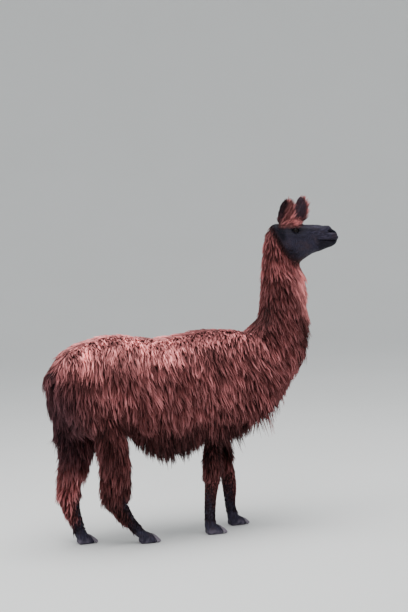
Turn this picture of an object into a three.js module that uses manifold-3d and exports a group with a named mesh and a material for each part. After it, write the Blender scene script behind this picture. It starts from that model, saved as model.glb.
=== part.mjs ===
import * as THREE from 'three';
import { mergeVertices } from 'three/addons/utils/BufferGeometryUtils.js';
import Module from 'manifold-3d';

// A life-size standing llama in full coat, in millimetres.
// +X is forwards, +Y is the animal's left, +Z is up and the soles stand on Z = 0.
// The solids reach out to the tips of the coat. The body is modelled whole and then
// parted with thin plane cuts, so every node fits its neighbour.

// ---------------------------------------------------------------- driving dimensions
const GAP = 0.3;                 // clearance left wherever two nodes meet
const COAT_ROUGHNESS = 0.85;
const EYE_ROUGHNESS = 0.08;
const NAIL_ROUGHNESS = 0.45;
const FAR = 3000;                // reach of a cutting box that has no edge on that side
const HEAD_TURN = -26;           // degrees the head looks towards the animal's right
const HEAD_PIVOT = 490;          // X of the joint between skull and neck
const TAIL_CUT = { x: -738, z: 922, tilt: -5 };  // plane between rump and tail, from its top
const TAIL_TIP = 546;            // height just under the tail's lowest locks
const TAIL_HALF_WIDTH = 62;      // reach of the tail's cut to each side
const NECK_CUT_Z = 1086;         // plane between the neck and the shoulders
const HEAD_CUT = { tilt: -29, along: -5, up: 1579 };  // plane from the poll to the jaw's corner
const EAR_CUT_Z = 1601;          // plane between the scalp and the ears
const HIND_CUT_Z = 565;          // plane between the flank and a hind leg
const FORE_CUT_Z = 444;          // plane between the chest fringe and the right foreleg
const FORE_LEFT_CUT_Z = 396;     // the left foreleg leaves the fringe lower down
const MID_X = -180;              // anything low and behind this belongs to a hind leg
const EYE_RADIUS = 18;
const EYE_SEAT = { along: 118, out: 59, up: 1556 };
const NOSTRIL = { along: 307, out: 27, up: 1541, radius: 8 };
const MOUTH = { from: 238, to: 345, slope: -2.5, height: 2.4, up: 1494 };
const TOE_SPREAD = 21;           // half the distance between the two toes of a foot
const TOE_SPLAY = 6;             // degrees each toe turns outwards
const SOLE_CUT = 3;              // how much of a toe's pad is flattened by the floor
const NAIL_CUT = { at: 0.85, up: 10, tilt: -30 };     // the plane where pad ends and nail begins
const NAIL_REACH = 60;           // size of the box that takes the nail off a toe

const COLOURS = { coat: 0x4e1f16, dark: 0x1d1416, face: 0x14141b, eye: 0x0a0809, nail: 0x4a4442 };

// Stations of a trunk-like member lie along X: low and high are heights, half is half the width.
const TRUNK = [
  { at: -772, low: 800, high: 888, half: 60 },   // tail root
  { at: -750, low: 708, high: 944, half: 124 },  // points of the buttocks
  { at: -690, low: 610, high: 1011, half: 188 }, // croup
  { at: -600, low: 590, high: 1051, half: 226 }, // hips
  { at: -480, low: 588, high: 1074, half: 244 }, // loin
  { at: -390, low: 576, high: 1077, half: 252 }, // fold of the flank
  { at: -290, low: 464, high: 1057, half: 262 }, // last rib
  { at: -165, low: 402, high: 1042, half: 268 }, // barrel
  { at: -40, low: 452, high: 1054, half: 264 },  // girth
  { at: 80, low: 466, high: 1073, half: 252 },   // withers
  { at: 190, low: 462, high: 1064, half: 234 },  // shoulder
  { at: 275, low: 508, high: 1051, half: 212 },  // brisket
  { at: 370, low: 580, high: 1030, half: 184 },  // base of the neck
  { at: 465, low: 676, high: 995, half: 148 },   // breast
  { at: 550, low: 780, high: 950, half: 102 },
  { at: 600, low: 850, high: 910, half: 42 },    // point of the breast
];

// Stations of a column-like member lie along Z: low is its back, high its front edge in X.
const NECK = [
  { at: 780, low: 310, high: 540, half: 90 },
  { at: 850, low: 280, high: 598, half: 126 },
  { at: 930, low: 262, high: 630, half: 146 },
  { at: 1030, low: 300, high: 644, half: 138 },
  { at: 1100, low: 364, high: 648, half: 128 },
  { at: 1180, low: 392, high: 650, half: 122 },
  { at: 1290, low: 400, high: 645, half: 116 },
  { at: 1380, low: 410, high: 632, half: 106 },
  { at: 1460, low: 418, high: 598, half: 92 },
  { at: 1520, low: 428, high: 572, half: 76 },
  { at: 1566, low: 442, high: 552, half: 58 },
  { at: 1598, low: 464, high: 524, half: 32 },   // nape behind the ears
];

// Stations of the head lie along its own axis, measured from the pivot above the neck.
const HEAD = [
  { at: -2, low: 1518, high: 1576, half: 38 },   // nape
  { at: 24, low: 1478, high: 1595, half: 60 },   // back of the skull
  { at: 56, low: 1440, high: 1601, half: 71 },   // between the ears
  { at: 92, low: 1394, high: 1600, half: 77 },   // topknot
  { at: 120, low: 1381, high: 1597, half: 78 },  // brow and jowl
  { at: 155, low: 1402, high: 1590, half: 71 },
  { at: 195, low: 1425, high: 1586, half: 57 },  // bridge of the nose
  { at: 235, low: 1441, high: 1583, half: 46 },
  { at: 272, low: 1452, high: 1572, half: 42 },  // corner of the mouth
  { at: 303, low: 1459, high: 1555, half: 40 },  // nostrils
  { at: 324, low: 1473, high: 1536, half: 32 },
  { at: 335, low: 1492, high: 1520, half: 15 },  // upper lip
];

const TAIL = [
  { at: 554, low: -745, high: -722, half: 15 },
  { at: 590, low: -757, high: -706, half: 34 },
  { at: 680, low: -773, high: -708, half: 52 },
  { at: 780, low: -787, high: -702, half: 58 },
  { at: 860, low: -787, high: -694, half: 54 },
  { at: 912, low: -770, high: -694, half: 38 },
];

// Legs: mid is the sideways place of each section, side is +1 on the left and -1 on the right.
const LEGS = [
  {
    name: 'hind_right', side: -1, cut: HIND_CUT_Z, reach: [-690, -386], joint: 255, ankle: 66,
    toes: { x: -313, y: 80, length: 104, turn: -4 }, power: 2.3,
    column: [
      { at: 32, low: -377, high: -304, half: 31, mid: 80 },
      { at: 66, low: -404, high: -333, half: 31, mid: 81 },   // fetlock
      { at: 115, low: -450, high: -368, half: 33, mid: 84 },
      { at: 175, low: -505, high: -403, half: 41, mid: 90 },  // cannon
      { at: 230, low: -543, high: -423, half: 53, mid: 98 },  // hock
      { at: 290, low: -568, high: -404, half: 70, mid: 108 },
      { at: 370, low: -574, high: -396, half: 82, mid: 118 }, // shank wool
      { at: 460, low: -566, high: -402, half: 90, mid: 126 },
      { at: 560, low: -588, high: -410, half: 98, mid: 130 },
      { at: 710, low: -610, high: -440, half: 90, mid: 130 }, // thigh inside the rump
    ],
  },
  {
    name: 'hind_left', side: 1, cut: HIND_CUT_Z, reach: [-780, -470], joint: 255, ankle: 64,
    toes: { x: -604, y: 78, length: 98, turn: -2 }, power: 2.3,
    column: [
      { at: 30, low: -662, high: -596, half: 31, mid: 78 },
      { at: 64, low: -670, high: -603, half: 31, mid: 79 },
      { at: 122, low: -692, high: -616, half: 33, mid: 82 },
      { at: 190, low: -726, high: -625, half: 42, mid: 90 },
      { at: 252, low: -738, high: -626, half: 54, mid: 98 },
      { at: 320, low: -737, high: -600, half: 70, mid: 108 },
      { at: 390, low: -729, high: -556, half: 82, mid: 118 },
      { at: 470, low: -714, high: -524, half: 90, mid: 126 },
      { at: 562, low: -710, high: -500, half: 92, mid: 134 },
      { at: 710, low: -722, high: -500, half: 90, mid: 130 },
    ],
  },
  {
    name: 'front_right', side: -1, cut: FORE_CUT_Z, reach: [-40, 112], joint: 292, ankle: 58,
    toes: { x: 52, y: 72, length: 104, turn: -3 }, power: 2.2,
    column: [
      { at: 30, low: -8, high: 58, half: 30, mid: 72 },
      { at: 58, low: -10, high: 51, half: 29, mid: 72 },
      { at: 112, low: -10, high: 56, half: 27, mid: 74 },
      { at: 190, low: -6, high: 64, half: 29, mid: 77 },
      { at: 270, low: 0, high: 80, half: 36, mid: 81 },       // knee
      { at: 340, low: -8, high: 92, half: 47, mid: 88 },
      { at: 445, low: -14, high: 98, half: 60, mid: 98 },
      { at: 590, low: -20, high: 128, half: 60, mid: 106 },
    ],
  },
  {
    name: 'front_left', side: 1, cut: FORE_LEFT_CUT_Z, reach: [80, 270], joint: 292, ankle: 58,
    toes: { x: 228, y: 72, length: 104, turn: -3 }, power: 2.2,
    column: [
      { at: 30, low: 170, high: 236, half: 30, mid: 72 },
      { at: 58, low: 167, high: 228, half: 29, mid: 72 },
      { at: 112, low: 157, high: 219, half: 27, mid: 74 },
      { at: 190, low: 151, high: 230, half: 31, mid: 77 },
      { at: 270, low: 144, high: 227, half: 38, mid: 81 },
      { at: 340, low: 131, high: 222, half: 49, mid: 88 },
      { at: 445, low: 118, high: 230, half: 60, mid: 98 },
      { at: 590, low: 100, high: 248, half: 60, mid: 106 },
    ],
  },
];

// A toe seen from its heel (at = 0) to its tip (at = 1) along the foot.
const TOE = [
  { at: 0, low: -SOLE_CUT, high: 22, half: 12 },
  { at: 0.12, low: -SOLE_CUT - 1, high: 42, half: 19 },
  { at: 0.4, low: -SOLE_CUT - 1, high: 57, half: 22 },
  { at: 0.66, low: -SOLE_CUT - 1, high: 43, half: 20 },
  { at: 0.84, low: -SOLE_CUT, high: 33, half: 16 },
  { at: 0.96, low: 1, high: 22, half: 11 },
  { at: 1.03, low: 5, high: 13, half: 5 },       // tip of the nail
];

// Ears: x, y and z place the centre line in the head's frame, half and depth size the shell,
// hollow runs from -1 (solid root) to below 1 (cupped shell), open turns the cup's mouth.
const EARS = [
  {
    name: 'ear_right', open: -74,
    line: [
      { x: 58, y: -44, z: 1562, half: 33, depth: 20, hollow: -1 },
      { x: 61, y: -50, z: 1597, half: 38, depth: 20, hollow: -0.9 },
      { x: 67, y: -55, z: 1632, half: 40, depth: 22, hollow: 0.1 },
      { x: 75, y: -58, z: 1664, half: 39, depth: 21, hollow: 0.45 },
      { x: 85, y: -56, z: 1688, half: 34, depth: 18, hollow: 0.4 },
      { x: 95, y: -52, z: 1704, half: 23, depth: 13, hollow: 0.2 },
      { x: 103, y: -48, z: 1713, half: 9, depth: 6, hollow: -0.4 },
    ],
  },
  {
    name: 'ear_left', open: 52,
    line: [
      { x: 98, y: 44, z: 1562, half: 34, depth: 20, hollow: -1 },
      { x: 116, y: 50, z: 1597, half: 38, depth: 22, hollow: -0.9 },
      { x: 132, y: 55, z: 1632, half: 38, depth: 24, hollow: 0.1 },
      { x: 144, y: 57, z: 1667, half: 37, depth: 22, hollow: 0.45 },
      { x: 151, y: 54, z: 1694, half: 31, depth: 18, hollow: 0.4 },
      { x: 155, y: 48, z: 1712, half: 20, depth: 12, hollow: 0.2 },
      { x: 157, y: 43, z: 1721, half: 8, depth: 5, hollow: -0.4 },
    ],
  },
];

// ---------------------------------------------------------------- shape tools
const wasm = await Module();
wasm.setup();

const radians = (degrees) => THREE.MathUtils.degToRad(degrees);

/** Sine or cosine drawn out towards the corners of a box by the section's power. */
const squared = (value, power) => Math.sign(value) * Math.abs(value) ** (2 / power);

/** Values of every station key at evenly spaced places on smooth curves through the stations. */
function blend(stations, key, steps) {
  const keys = Object.keys(stations[0]).filter((name) => name !== key);
  const curves = keys.map((name) => new THREE.SplineCurve(
    stations.map((station, i) => new THREE.Vector2(station[key] ?? i, station[name]))));
  const count = (stations.length - 1) * steps;
  return Array.from({ length: count + 1 }, (_, i) => {
    const row = {};
    curves.forEach((curve, k) => {
      const point = curve.getPoint(i / count);
      row[key] = point.x;
      row[keys[k]] = point.y;
    });
    return row;
  });
}

/** Closed solid through rings of equally many points, with a fan over each end. */
function loft(rings) {
  const sides = rings[0].length;
  const points = rings.flat();
  const faces = [];
  for (let r = 0; r + 1 < rings.length; r += 1) {
    for (let s = 0; s < sides; s += 1) {
      const a = r * sides + s;
      const b = r * sides + ((s + 1) % sides);
      faces.push(a, b, b + sides, a, b + sides, a + sides);
    }
  }
  for (const [ring, flip] of [[0, true], [rings.length - 1, false]]) {
    const centre = new THREE.Vector3();
    rings[ring].forEach((point) => centre.addScaledVector(point, 1 / sides));
    const hub = points.push(centre) - 1;
    for (let s = 0; s < sides; s += 1) {
      const a = ring * sides + s;
      const b = ring * sides + ((s + 1) % sides);
      faces.push(...(flip ? [hub, b, a] : [hub, a, b]));
    }
  }
  const geometry = new THREE.BufferGeometry().setFromPoints(points);
  geometry.setIndex(faces);
  return geometry;
}

/**
 * Rounded member through stations along X ('x') or Z ('z').
 * power squares the section, egg widens it towards its high side.
 */
function member(axis, stations, { sides = 24, steps = 2, power = 2.3, egg = 0, side = 1 } = {}) {
  const rings = blend(stations, 'at', steps).map((row) => {
    const centre = (row.high + row.low) / 2;
    const reach = (row.high - row.low) / 2;
    return Array.from({ length: sides }, (_, i) => {
      const angle = ((i + 0.5) / sides) * 2 * Math.PI;
      const over = squared(Math.sin(angle), power);
      const across = squared(Math.cos(angle), power) * (1 + egg * over);
      const y = side * (row.mid ?? 0) + across * row.half;
      return axis === 'x'
        ? new THREE.Vector3(row.at, y, centre + over * reach)
        : new THREE.Vector3(centre + over * reach, y, row.at);
    });
  });
  return loft(rings);
}

/** Cupped shell of an ear around its centre line; the open angle faces the hollow side. */
function earShell({ line, open }, sides = 12, steps = 2) {
  const rows = blend(line.map((station, at) => ({ at, ...station })), 'at', steps);
  const spine = rows.map((row) => new THREE.Vector3(row.x, row.y, row.z));
  const rings = rows.map((row, i) => {
    const ahead = spine[Math.min(i + 1, spine.length - 1)];
    const behind = spine[Math.max(i - 1, 0)];
    const along = ahead.clone().sub(behind).normalize();
    const mouth = new THREE.Vector3(Math.cos(radians(open)), Math.sin(radians(open)), 0);
    mouth.addScaledVector(along, -mouth.dot(along)).normalize();
    const across = along.clone().cross(mouth);
    return Array.from({ length: sides }, (_, s) => {
      const angle = ((s + 0.5) / sides) * 2 * Math.PI;
      const depth = Math.sin(angle) > 0 ? Math.sin(angle) : row.hollow * Math.abs(Math.sin(angle));
      return spine[i].clone()
        .addScaledVector(across, row.half * Math.cos(angle))
        .addScaledVector(mouth, -row.depth * depth);
    });
  });
  return loft(rings);
}

/** Closed three.js geometry to a solid; faces that point inwards are turned first. */
function solid(geometry) {
  const bare = new THREE.BufferGeometry();
  bare.setAttribute('position', geometry.getAttribute('position').clone());
  if (geometry.index) bare.setIndex(geometry.index.clone());
  const merged = mergeVertices(bare, 1e-4);
  const points = merged.getAttribute('position');
  const faces = Uint32Array.from(merged.index.array);
  const corner = (i) => new THREE.Vector3().fromBufferAttribute(points, faces[i]);
  let volume = 0;
  for (let i = 0; i < faces.length; i += 3) {
    volume += corner(i).dot(corner(i + 1).cross(corner(i + 2)));
  }
  if (volume < 0) {
    for (let i = 0; i < faces.length; i += 3) {
      [faces[i], faces[i + 1]] = [faces[i + 1], faces[i]];
    }
  }
  return new wasm.Manifold(new wasm.Mesh({
    numProp: 3, vertProperties: Float32Array.from(points.array), triVerts: faces,
  }));
}

/** Solid to a geometry ready for a named mesh. */
function geometryOf(shape) {
  const mesh = shape.getMesh();
  const geometry = new THREE.BufferGeometry();
  geometry.setAttribute('position', new THREE.BufferAttribute(mesh.vertProperties.slice(), 3));
  geometry.setIndex(new THREE.BufferAttribute(mesh.triVerts.slice(), 1));
  geometry.computeVertexNormals();
  return geometry;
}

/** Box between two corners, grown all round, tilted about +Y at its pivot and then placed. */
function box({ min, max, tilt = 0, pivot = [0, 0, 0], place = (geometry) => geometry }, grow = 0) {
  const low = new THREE.Vector3(...min).addScalar(-grow);
  const high = new THREE.Vector3(...max).addScalar(grow);
  const size = high.clone().sub(low);
  const geometry = new THREE.BoxGeometry(size.x, size.y, size.z);
  const centre = low.add(high).multiplyScalar(0.5);
  geometry.translate(centre.x, centre.y, centre.z);
  const [x, y, z] = pivot;
  geometry.translate(-x, -y, -z).rotateY(radians(tilt)).translate(x, y, z);
  return solid(place(geometry));
}

/** Solid split by a box: what lies inside it, and what is left a gap away from it. */
function part(whole, bounds) {
  return [whole.intersect(box(bounds)), whole.subtract(box(bounds, GAP))];
}

/** Turns a solid built along the head's own axis into the body's frame. */
const headed = (geometry) => geometry.rotateZ(radians(HEAD_TURN)).translate(HEAD_PIVOT, 0, 0);

const group = new THREE.Group();

/** Adds one finished node to the group with its own material. */
function addNode(name, shape, colour, roughness = COAT_ROUGHNESS) {
  const material = new THREE.MeshStandardMaterial({ color: colour, roughness, metalness: 0 });
  const mesh = new THREE.Mesh(geometryOf(shape), material);
  mesh.name = name;
  group.add(mesh);
}

// ---------------------------------------------------------------- the whole body
const onFloor = { min: [-FAR, -FAR, 0], max: [FAR, FAR, FAR] };

/** Placing of the inner (-1) or outer (+1) toe of a leg's foot. */
const toePlace = ({ side, toes }, out) => (geometry) => geometry
  .translate(0, side * out * TOE_SPREAD, 0)
  .rotateZ(radians(side * (out * TOE_SPLAY - toes.turn)))
  .translate(toes.x, side * toes.y, 0);

/** One padded toe, a little sunk so that the floor flattens its sole. */
function toe(leg, out) {
  const stations = TOE.map((row) => ({ ...row, at: (row.at - 0.5) * leg.toes.length }));
  const options = { sides: 10, steps: 1, power: 2.4, egg: -0.12 };
  return solid(toePlace(leg, out)(member('x', stations, options)));
}

/** Bounds of the nail that caps one toe. */
function nailBounds(leg, out) {
  const x = (NAIL_CUT.at - 0.5) * leg.toes.length;
  return {
    min: [x, -TOE_SPREAD, NAIL_CUT.up - NAIL_REACH], max: [x + NAIL_REACH, TOE_SPREAD, NAIL_REACH],
    tilt: NAIL_CUT.tilt, pivot: [x, 0, NAIL_CUT.up], place: toePlace(leg, out),
  };
}

let body = solid(member('x', TRUNK, { sides: 24, steps: 1, power: 2.35, egg: -0.08 }))
  .add(solid(member('z', NECK, { sides: 18, power: 2.2 })))
  .add(solid(member('z', TAIL, { sides: 12, power: 2.2 })));

for (const leg of LEGS) {
  body = body.add(solid(member('z', leg.column, {
    sides: 14, steps: 1, power: leg.power, side: leg.side,
  })));
  for (const out of [-1, 1]) body = body.add(toe(leg, out));
}
body = body.intersect(box(onFloor));

let skull = solid(headed(member('x', HEAD, { sides: 20, power: 2.35, egg: 0.14 })));
for (const ear of EARS) skull = skull.add(solid(headed(earShell(ear))));
body = body.add(skull);

// Mouth line and nostrils are real cuts in the muzzle.
const mouth = new THREE.BoxGeometry(MOUTH.to - MOUTH.from, FAR / 10, MOUTH.height);
mouth.rotateY(radians(MOUTH.slope)).translate((MOUTH.from + MOUTH.to) / 2, 0, MOUTH.up);
body = body.subtract(solid(headed(mouth)));
for (const side of [-1, 1]) {
  const nostril = new THREE.SphereGeometry(NOSTRIL.radius, 8, 5).scale(1.3, 0.9, 0.55);
  nostril.rotateY(radians(28)).translate(NOSTRIL.along, side * NOSTRIL.out, NOSTRIL.up);
  body = body.subtract(solid(headed(nostril)));
}

// ---------------------------------------------------------------- eyes
for (const side of [-1, 1]) {
  const ball = (radius) => solid(headed(new THREE.SphereGeometry(radius, 12, 8)
    .rotateX(Math.PI / 2).translate(EYE_SEAT.along, side * EYE_SEAT.out, EYE_SEAT.up)));
  addNode(side > 0 ? 'eye_left' : 'eye_right', ball(EYE_RADIUS), COLOURS.eye, EYE_ROUGHNESS);
  body = body.subtract(ball(EYE_RADIUS + GAP));
}
// ---------------------------------------------------------------- parting the body
const cuts = LEGS.flatMap((leg) => [[-1, 'inner'], [1, 'outer']].map(([out, place]) => (
  [`nail_${leg.name}_${place}`, COLOURS.nail, nailBounds(leg, out), NAIL_ROUGHNESS])));
cuts.push(
  ['ear_left', COLOURS.dark, { min: [-FAR, 0, EAR_CUT_Z], max: [FAR, FAR, FAR], place: headed }],
  ['ear_right', COLOURS.dark, { min: [-FAR, -FAR, EAR_CUT_Z], max: [FAR, 0, FAR], place: headed }],
  ['head', COLOURS.face, {
    min: [HEAD_CUT.along, -FAR, -FAR], max: [FAR, FAR, FAR], tilt: HEAD_CUT.tilt,
    pivot: [HEAD_CUT.along, 0, HEAD_CUT.up], place: headed,
  }],
  ['neck', COLOURS.coat, { min: [-FAR, -FAR, NECK_CUT_Z], max: [FAR, FAR, FAR] }],
  ['tail', COLOURS.dark, {
    min: [-FAR, -TAIL_HALF_WIDTH, TAIL_TIP], max: [TAIL_CUT.x, TAIL_HALF_WIDTH, TAIL_CUT.z],
    tilt: TAIL_CUT.tilt, pivot: [TAIL_CUT.x, 0, TAIL_CUT.z],
  }],
);
for (const leg of LEGS) {
  const [near, far] = leg.side > 0 ? [0, FAR] : [-FAR, 0];
  const ends = leg.name.startsWith('hind') ? [-FAR, MID_X] : [MID_X, FAR];
  const below = (top, [back, front]) => ({ min: [back, near, -FAR], max: [front, far, top] });
  cuts.push([`foot_${leg.name}`, COLOURS.dark, below(leg.ankle, ends)]);
  cuts.push([`shin_${leg.name}`, COLOURS.dark, below(leg.joint, ends)]);
  cuts.push([`leg_${leg.name}`, COLOURS.coat, below(leg.cut, leg.reach)]);
}
for (const [name, colour, bounds, roughness] of cuts) {
  const [inside, outside] = part(body, bounds);
  addNode(name, inside, colour, roughness);
  body = outside;
}
addNode('trunk', body, COLOURS.coat);

// ---------------------------------------------------------------- origin under the middle
const extent = new THREE.Box3().setFromObject(group);
const middle = extent.getCenter(new THREE.Vector3());
group.children.forEach((mesh) => mesh.geometry.translate(-middle.x, -middle.y, -extent.min.z));

export default group;
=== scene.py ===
"""A life-size llama in full fleece, standing on a pale floor.

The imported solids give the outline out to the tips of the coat. One skin lies inside them by the
depth of the coat, and locks of fleece cover it, hanging the way the animal's own coat hangs.
"""
import logging
import math
from dataclasses import dataclass, field
from enum import Enum
from typing import Any

import bmesh
import bpy
import numpy as np
from mathutils import Matrix, Vector, noise


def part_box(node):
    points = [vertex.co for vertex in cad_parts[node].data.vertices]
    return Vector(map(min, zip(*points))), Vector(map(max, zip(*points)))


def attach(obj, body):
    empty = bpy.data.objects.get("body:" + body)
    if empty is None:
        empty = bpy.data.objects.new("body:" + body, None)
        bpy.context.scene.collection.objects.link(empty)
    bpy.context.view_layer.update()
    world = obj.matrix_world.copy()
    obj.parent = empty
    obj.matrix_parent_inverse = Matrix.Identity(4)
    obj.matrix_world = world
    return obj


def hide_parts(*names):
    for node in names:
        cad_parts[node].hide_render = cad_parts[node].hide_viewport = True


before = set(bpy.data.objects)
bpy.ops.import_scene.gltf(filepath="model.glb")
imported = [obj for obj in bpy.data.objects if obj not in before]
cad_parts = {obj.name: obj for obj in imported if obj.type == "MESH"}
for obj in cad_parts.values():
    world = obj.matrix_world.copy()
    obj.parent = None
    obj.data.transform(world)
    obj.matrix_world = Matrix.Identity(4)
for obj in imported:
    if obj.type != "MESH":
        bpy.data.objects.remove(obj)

LOG = logging.getLogger("llama")
BODY = "root"
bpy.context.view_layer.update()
UP = np.array([0.0, 0.0, 1.0])
Array = np.ndarray


# ---------------------------------------------------------------- small mathematics
def ramp(low: float, high: float, value: Array) -> Array:
    """Smooth rise from 0 where value is low to 1 where it is high.

    Args:
        low: Value where the ramp starts.
        high: Value where the ramp ends; when it is below low, the ramp falls.
        value: What is measured.

    Returns:
        The ramp's height at each value.
    """
    t = np.clip((value - low) / (high - low), 0.0, 1.0)
    return t * t * (3.0 - 2.0 * t)


def bell(value: Array, centre: float, width: float) -> Array:
    """Rounded bump of height 1 at centre, fading over width to each side."""
    return np.exp(-(((value - centre) / width) ** 2))


def unit(vectors: Array) -> Array:
    """Vectors scaled to length one."""
    return vectors / np.maximum(np.linalg.norm(vectors, axis=1, keepdims=True), 1e-9)


def mixed(a: Array, b: Array, weight: Array) -> Array:
    """Blend from a to b by weight, row by row.

    Args:
        a: Values or rows where the weight is 0.
        b: Values or rows where it is 1.
        weight: Weight of b at each place.

    Returns:
        The blended values.
    """
    if np.ndim(a) > 1 or np.ndim(b) > 1:
        weight = weight[:, None]
    return a * (1.0 - weight) + b * weight


def layered(base: float, *layers: tuple[Array | float, Array]) -> Array:
    """Numbers that start from one value and take another wherever a layer lies over it.

    Args:
        base: Value under every layer.
        layers: Pairs of a layer's value and its weight, the lowest first.

    Returns:
        One number for each place.
    """
    value = np.full(len(layers[0][1]), base)
    for own, weight in layers:
        value = mixed(value, own, weight)
    return value


def rows(x: Array | float, y: Array | float, z: Array | float) -> Array:
    """Vectors, one row each, from columns and plain numbers."""
    return np.stack(np.broadcast_arrays(x, y, z), axis=1)


def strongest(*weights: Array) -> Array:
    """The greatest of several weights at each place, kept from 0 to 1."""
    return np.clip(np.maximum.reduce(weights), 0.0, 1.0)


def mottle(points: Array, size: float) -> Array:
    """Soft blotches of about the given size, from 0 to 1."""
    return ramp(-0.3, 0.35, np.array([noise.noise(Vector(point) / size) for point in points.tolist()]))


def along_surface(vectors: Array, normals: Array) -> Array:
    """Vectors with the part that leaves the surface taken away."""
    return vectors - normals * np.sum(vectors * normals, axis=1, keepdims=True)


# ---------------------------------------------------------------- mesh helpers
def read_rows(items: Any, name: str, columns: int = 3, kind: type = float) -> Array:
    """Reads one property of all of a mesh's vertices, edges or faces.

    Args:
        items: The mesh's own list of them.
        name: Name of the property.
        columns: How many numbers each of them has.
        kind: Type of the numbers.

    Returns:
        One row for each item.
    """
    values = np.empty(len(items) * columns, dtype=kind)
    items.foreach_get(name, values)
    return values.reshape(-1, columns)


@dataclass
class Surface:
    """Positions, normals and edges of a mesh as arrays that are quick to work on.

    Attributes:
        mesh: The Blender mesh they come from.
    """

    mesh: bpy.types.Mesh
    points: Array = field(init=False)
    normals: Array = field(init=False)
    edges: Array = field(init=False)

    def __post_init__(self) -> None:
        """Reads the arrays."""
        self.points = read_rows(self.mesh.vertices, "co")
        self.normals = read_rows(self.mesh.vertex_normals, "vector")
        self.edges = read_rows(self.mesh.edges, "vertices", 2, np.int64)

    def smoothed(self, values: Array, rounds: int, strength: Array | float = 0.5) -> Array:
        """Values averaged with their neighbours' along the edges.

        Args:
            values: One number or row for each vertex.
            rounds: How many times the averaging is done.
            strength: Share of the neighbours' mean that is taken each time.

        Returns:
            The averaged values.
        """
        flat = values.reshape(len(values), -1).copy()
        first, second = self.edges.T
        count = len(flat)
        degree = np.bincount(first, minlength=count) + np.bincount(second, minlength=count)
        degree = np.maximum(degree, 1)[:, None]
        share = strength[:, None] if isinstance(strength, np.ndarray) else strength
        for _ in range(rounds):
            total = np.empty_like(flat)
            for column in range(flat.shape[1]):
                total[:, column] = np.bincount(first, flat[second, column], count)
                total[:, column] += np.bincount(second, flat[first, column], count)
            flat += (total / degree - flat) * share
        return flat.reshape(values.shape)

    def write(self, points: Array) -> None:
        """Moves the mesh's vertices to new places and reads the new normals.

        Args:
            points: The new places.
        """
        self.mesh.vertices.foreach_set("co", points.astype(np.float32).ravel())
        self.mesh.update()
        self.__post_init__()

    def store(self, name: str, values: Array, kind: str = "FLOAT", domain: str = "POINT") -> None:
        """Keeps values on the mesh as a named attribute.

        Args:
            name: Name of the attribute.
            values: One number or row for each item.
            kind: Blender's name for their type.
            domain: POINT or FACE.
        """
        attribute = self.mesh.attributes.new(name, kind, domain)
        flat = values.astype(np.int32 if kind == "INT" else np.float32)
        attribute.data.foreach_set("vector" if kind == "FLOAT_VECTOR" else "value", flat.ravel())


def add_object(name: str, mesh: bpy.types.Mesh) -> bpy.types.Object:
    """Puts a mesh into the scene as an object at the origin.

    Args:
        name: Name of the object.
        mesh: Its mesh.

    Returns:
        The object.
    """
    mesh.name = name
    item = bpy.data.objects.new(name, mesh)
    bpy.context.scene.collection.objects.link(item)
    return item


def settle(item: bpy.types.Object, modifier: bpy.types.Modifier) -> None:
    """Works a modifier into its object's mesh for good.

    Args:
        item: Object whose mesh is replaced.
        modifier: Its only modifier.
    """
    graph = bpy.context.evaluated_depsgraph_get()
    mesh = bpy.data.meshes.new_from_object(item.evaluated_get(graph), depsgraph=graph)
    old = item.data
    item.data = mesh
    item.modifiers.remove(modifier)
    bpy.data.meshes.remove(old)


def remeshed(item: bpy.types.Object, voxel: float) -> None:
    """Rebuilds an object's mesh as one closed surface of even squares.

    Args:
        item: Object whose mesh is replaced.
        voxel: Size of the squares in metres.
    """
    modifier = item.modifiers.new("shell", "REMESH")
    modifier.mode = "VOXEL"
    modifier.voxel_size = voxel
    settle(item, modifier)


# ---------------------------------------------------------------- anatomy
@dataclass(frozen=True)
class HeadAxis:
    """The head's own frame: along to the nose, out to its left, and up.

    Attributes:
        pivot: X of the joint between the skull and the neck.
        turn: Degrees that the head looks to the left of straight ahead.
        nape: A point of the plane that parts head and neck, along and up.
        lean: Degrees that this plane leans back from upright.
        eye: Where the eyes are along the head.
        nostril: Where the nostrils are, along and up.
        ear_base: Heights between which the skull becomes ear.
        ear_tip: Heights between which the wool of the ear shortens to its tip.
    """

    pivot: float = 0.4852
    turn: float = -26.0
    nape: tuple[float, float] = (-0.005, 1.579)
    lean: float = 29.0
    eye: float = 0.118
    nostril: tuple[float, float] = (0.305, 1.541)
    ear_base: tuple[float, float] = (1.598, 1.612)
    ear_tip: tuple[float, float] = (1.705, 1.66)

    def local(self, points: Array) -> Array:
        """Rows of (along, out, up) for rows of body positions.

        Args:
            points: Positions in the body's frame.

        Returns:
            The same places in the head's frame.
        """
        angle = math.radians(self.turn)
        x, y = points[:, 0] - self.pivot, points[:, 1]
        along = x * math.cos(angle) + y * math.sin(angle)
        out = y * math.cos(angle) - x * math.sin(angle)
        return rows(along, out, points[:, 2])

    def ahead(self, along: Array, z: Array) -> Array:
        """How far places lie in front of the plane that parts head and neck."""
        lean = math.radians(self.lean)
        return (along - self.nape[0]) * math.cos(lean) + (z - self.nape[1]) * math.sin(lean)

    def directions(self, vectors: Array) -> Array:
        """Directions of the head's frame, turned into the body's frame.

        Args:
            vectors: Directions in the head's frame.

        Returns:
            The same directions in the body's frame.
        """
        angle = math.radians(self.turn)
        x = vectors[:, 0] * math.cos(angle) - vectors[:, 1] * math.sin(angle)
        y = vectors[:, 0] * math.sin(angle) + vectors[:, 1] * math.cos(angle)
        return rows(x, y, vectors[:, 2])

    def places(self, local: Array) -> Array:
        """Body positions for rows of (along, out, up)."""
        return self.directions(local) + np.array([self.pivot, 0.0, 0.0])


HEAD = HeadAxis()


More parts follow.
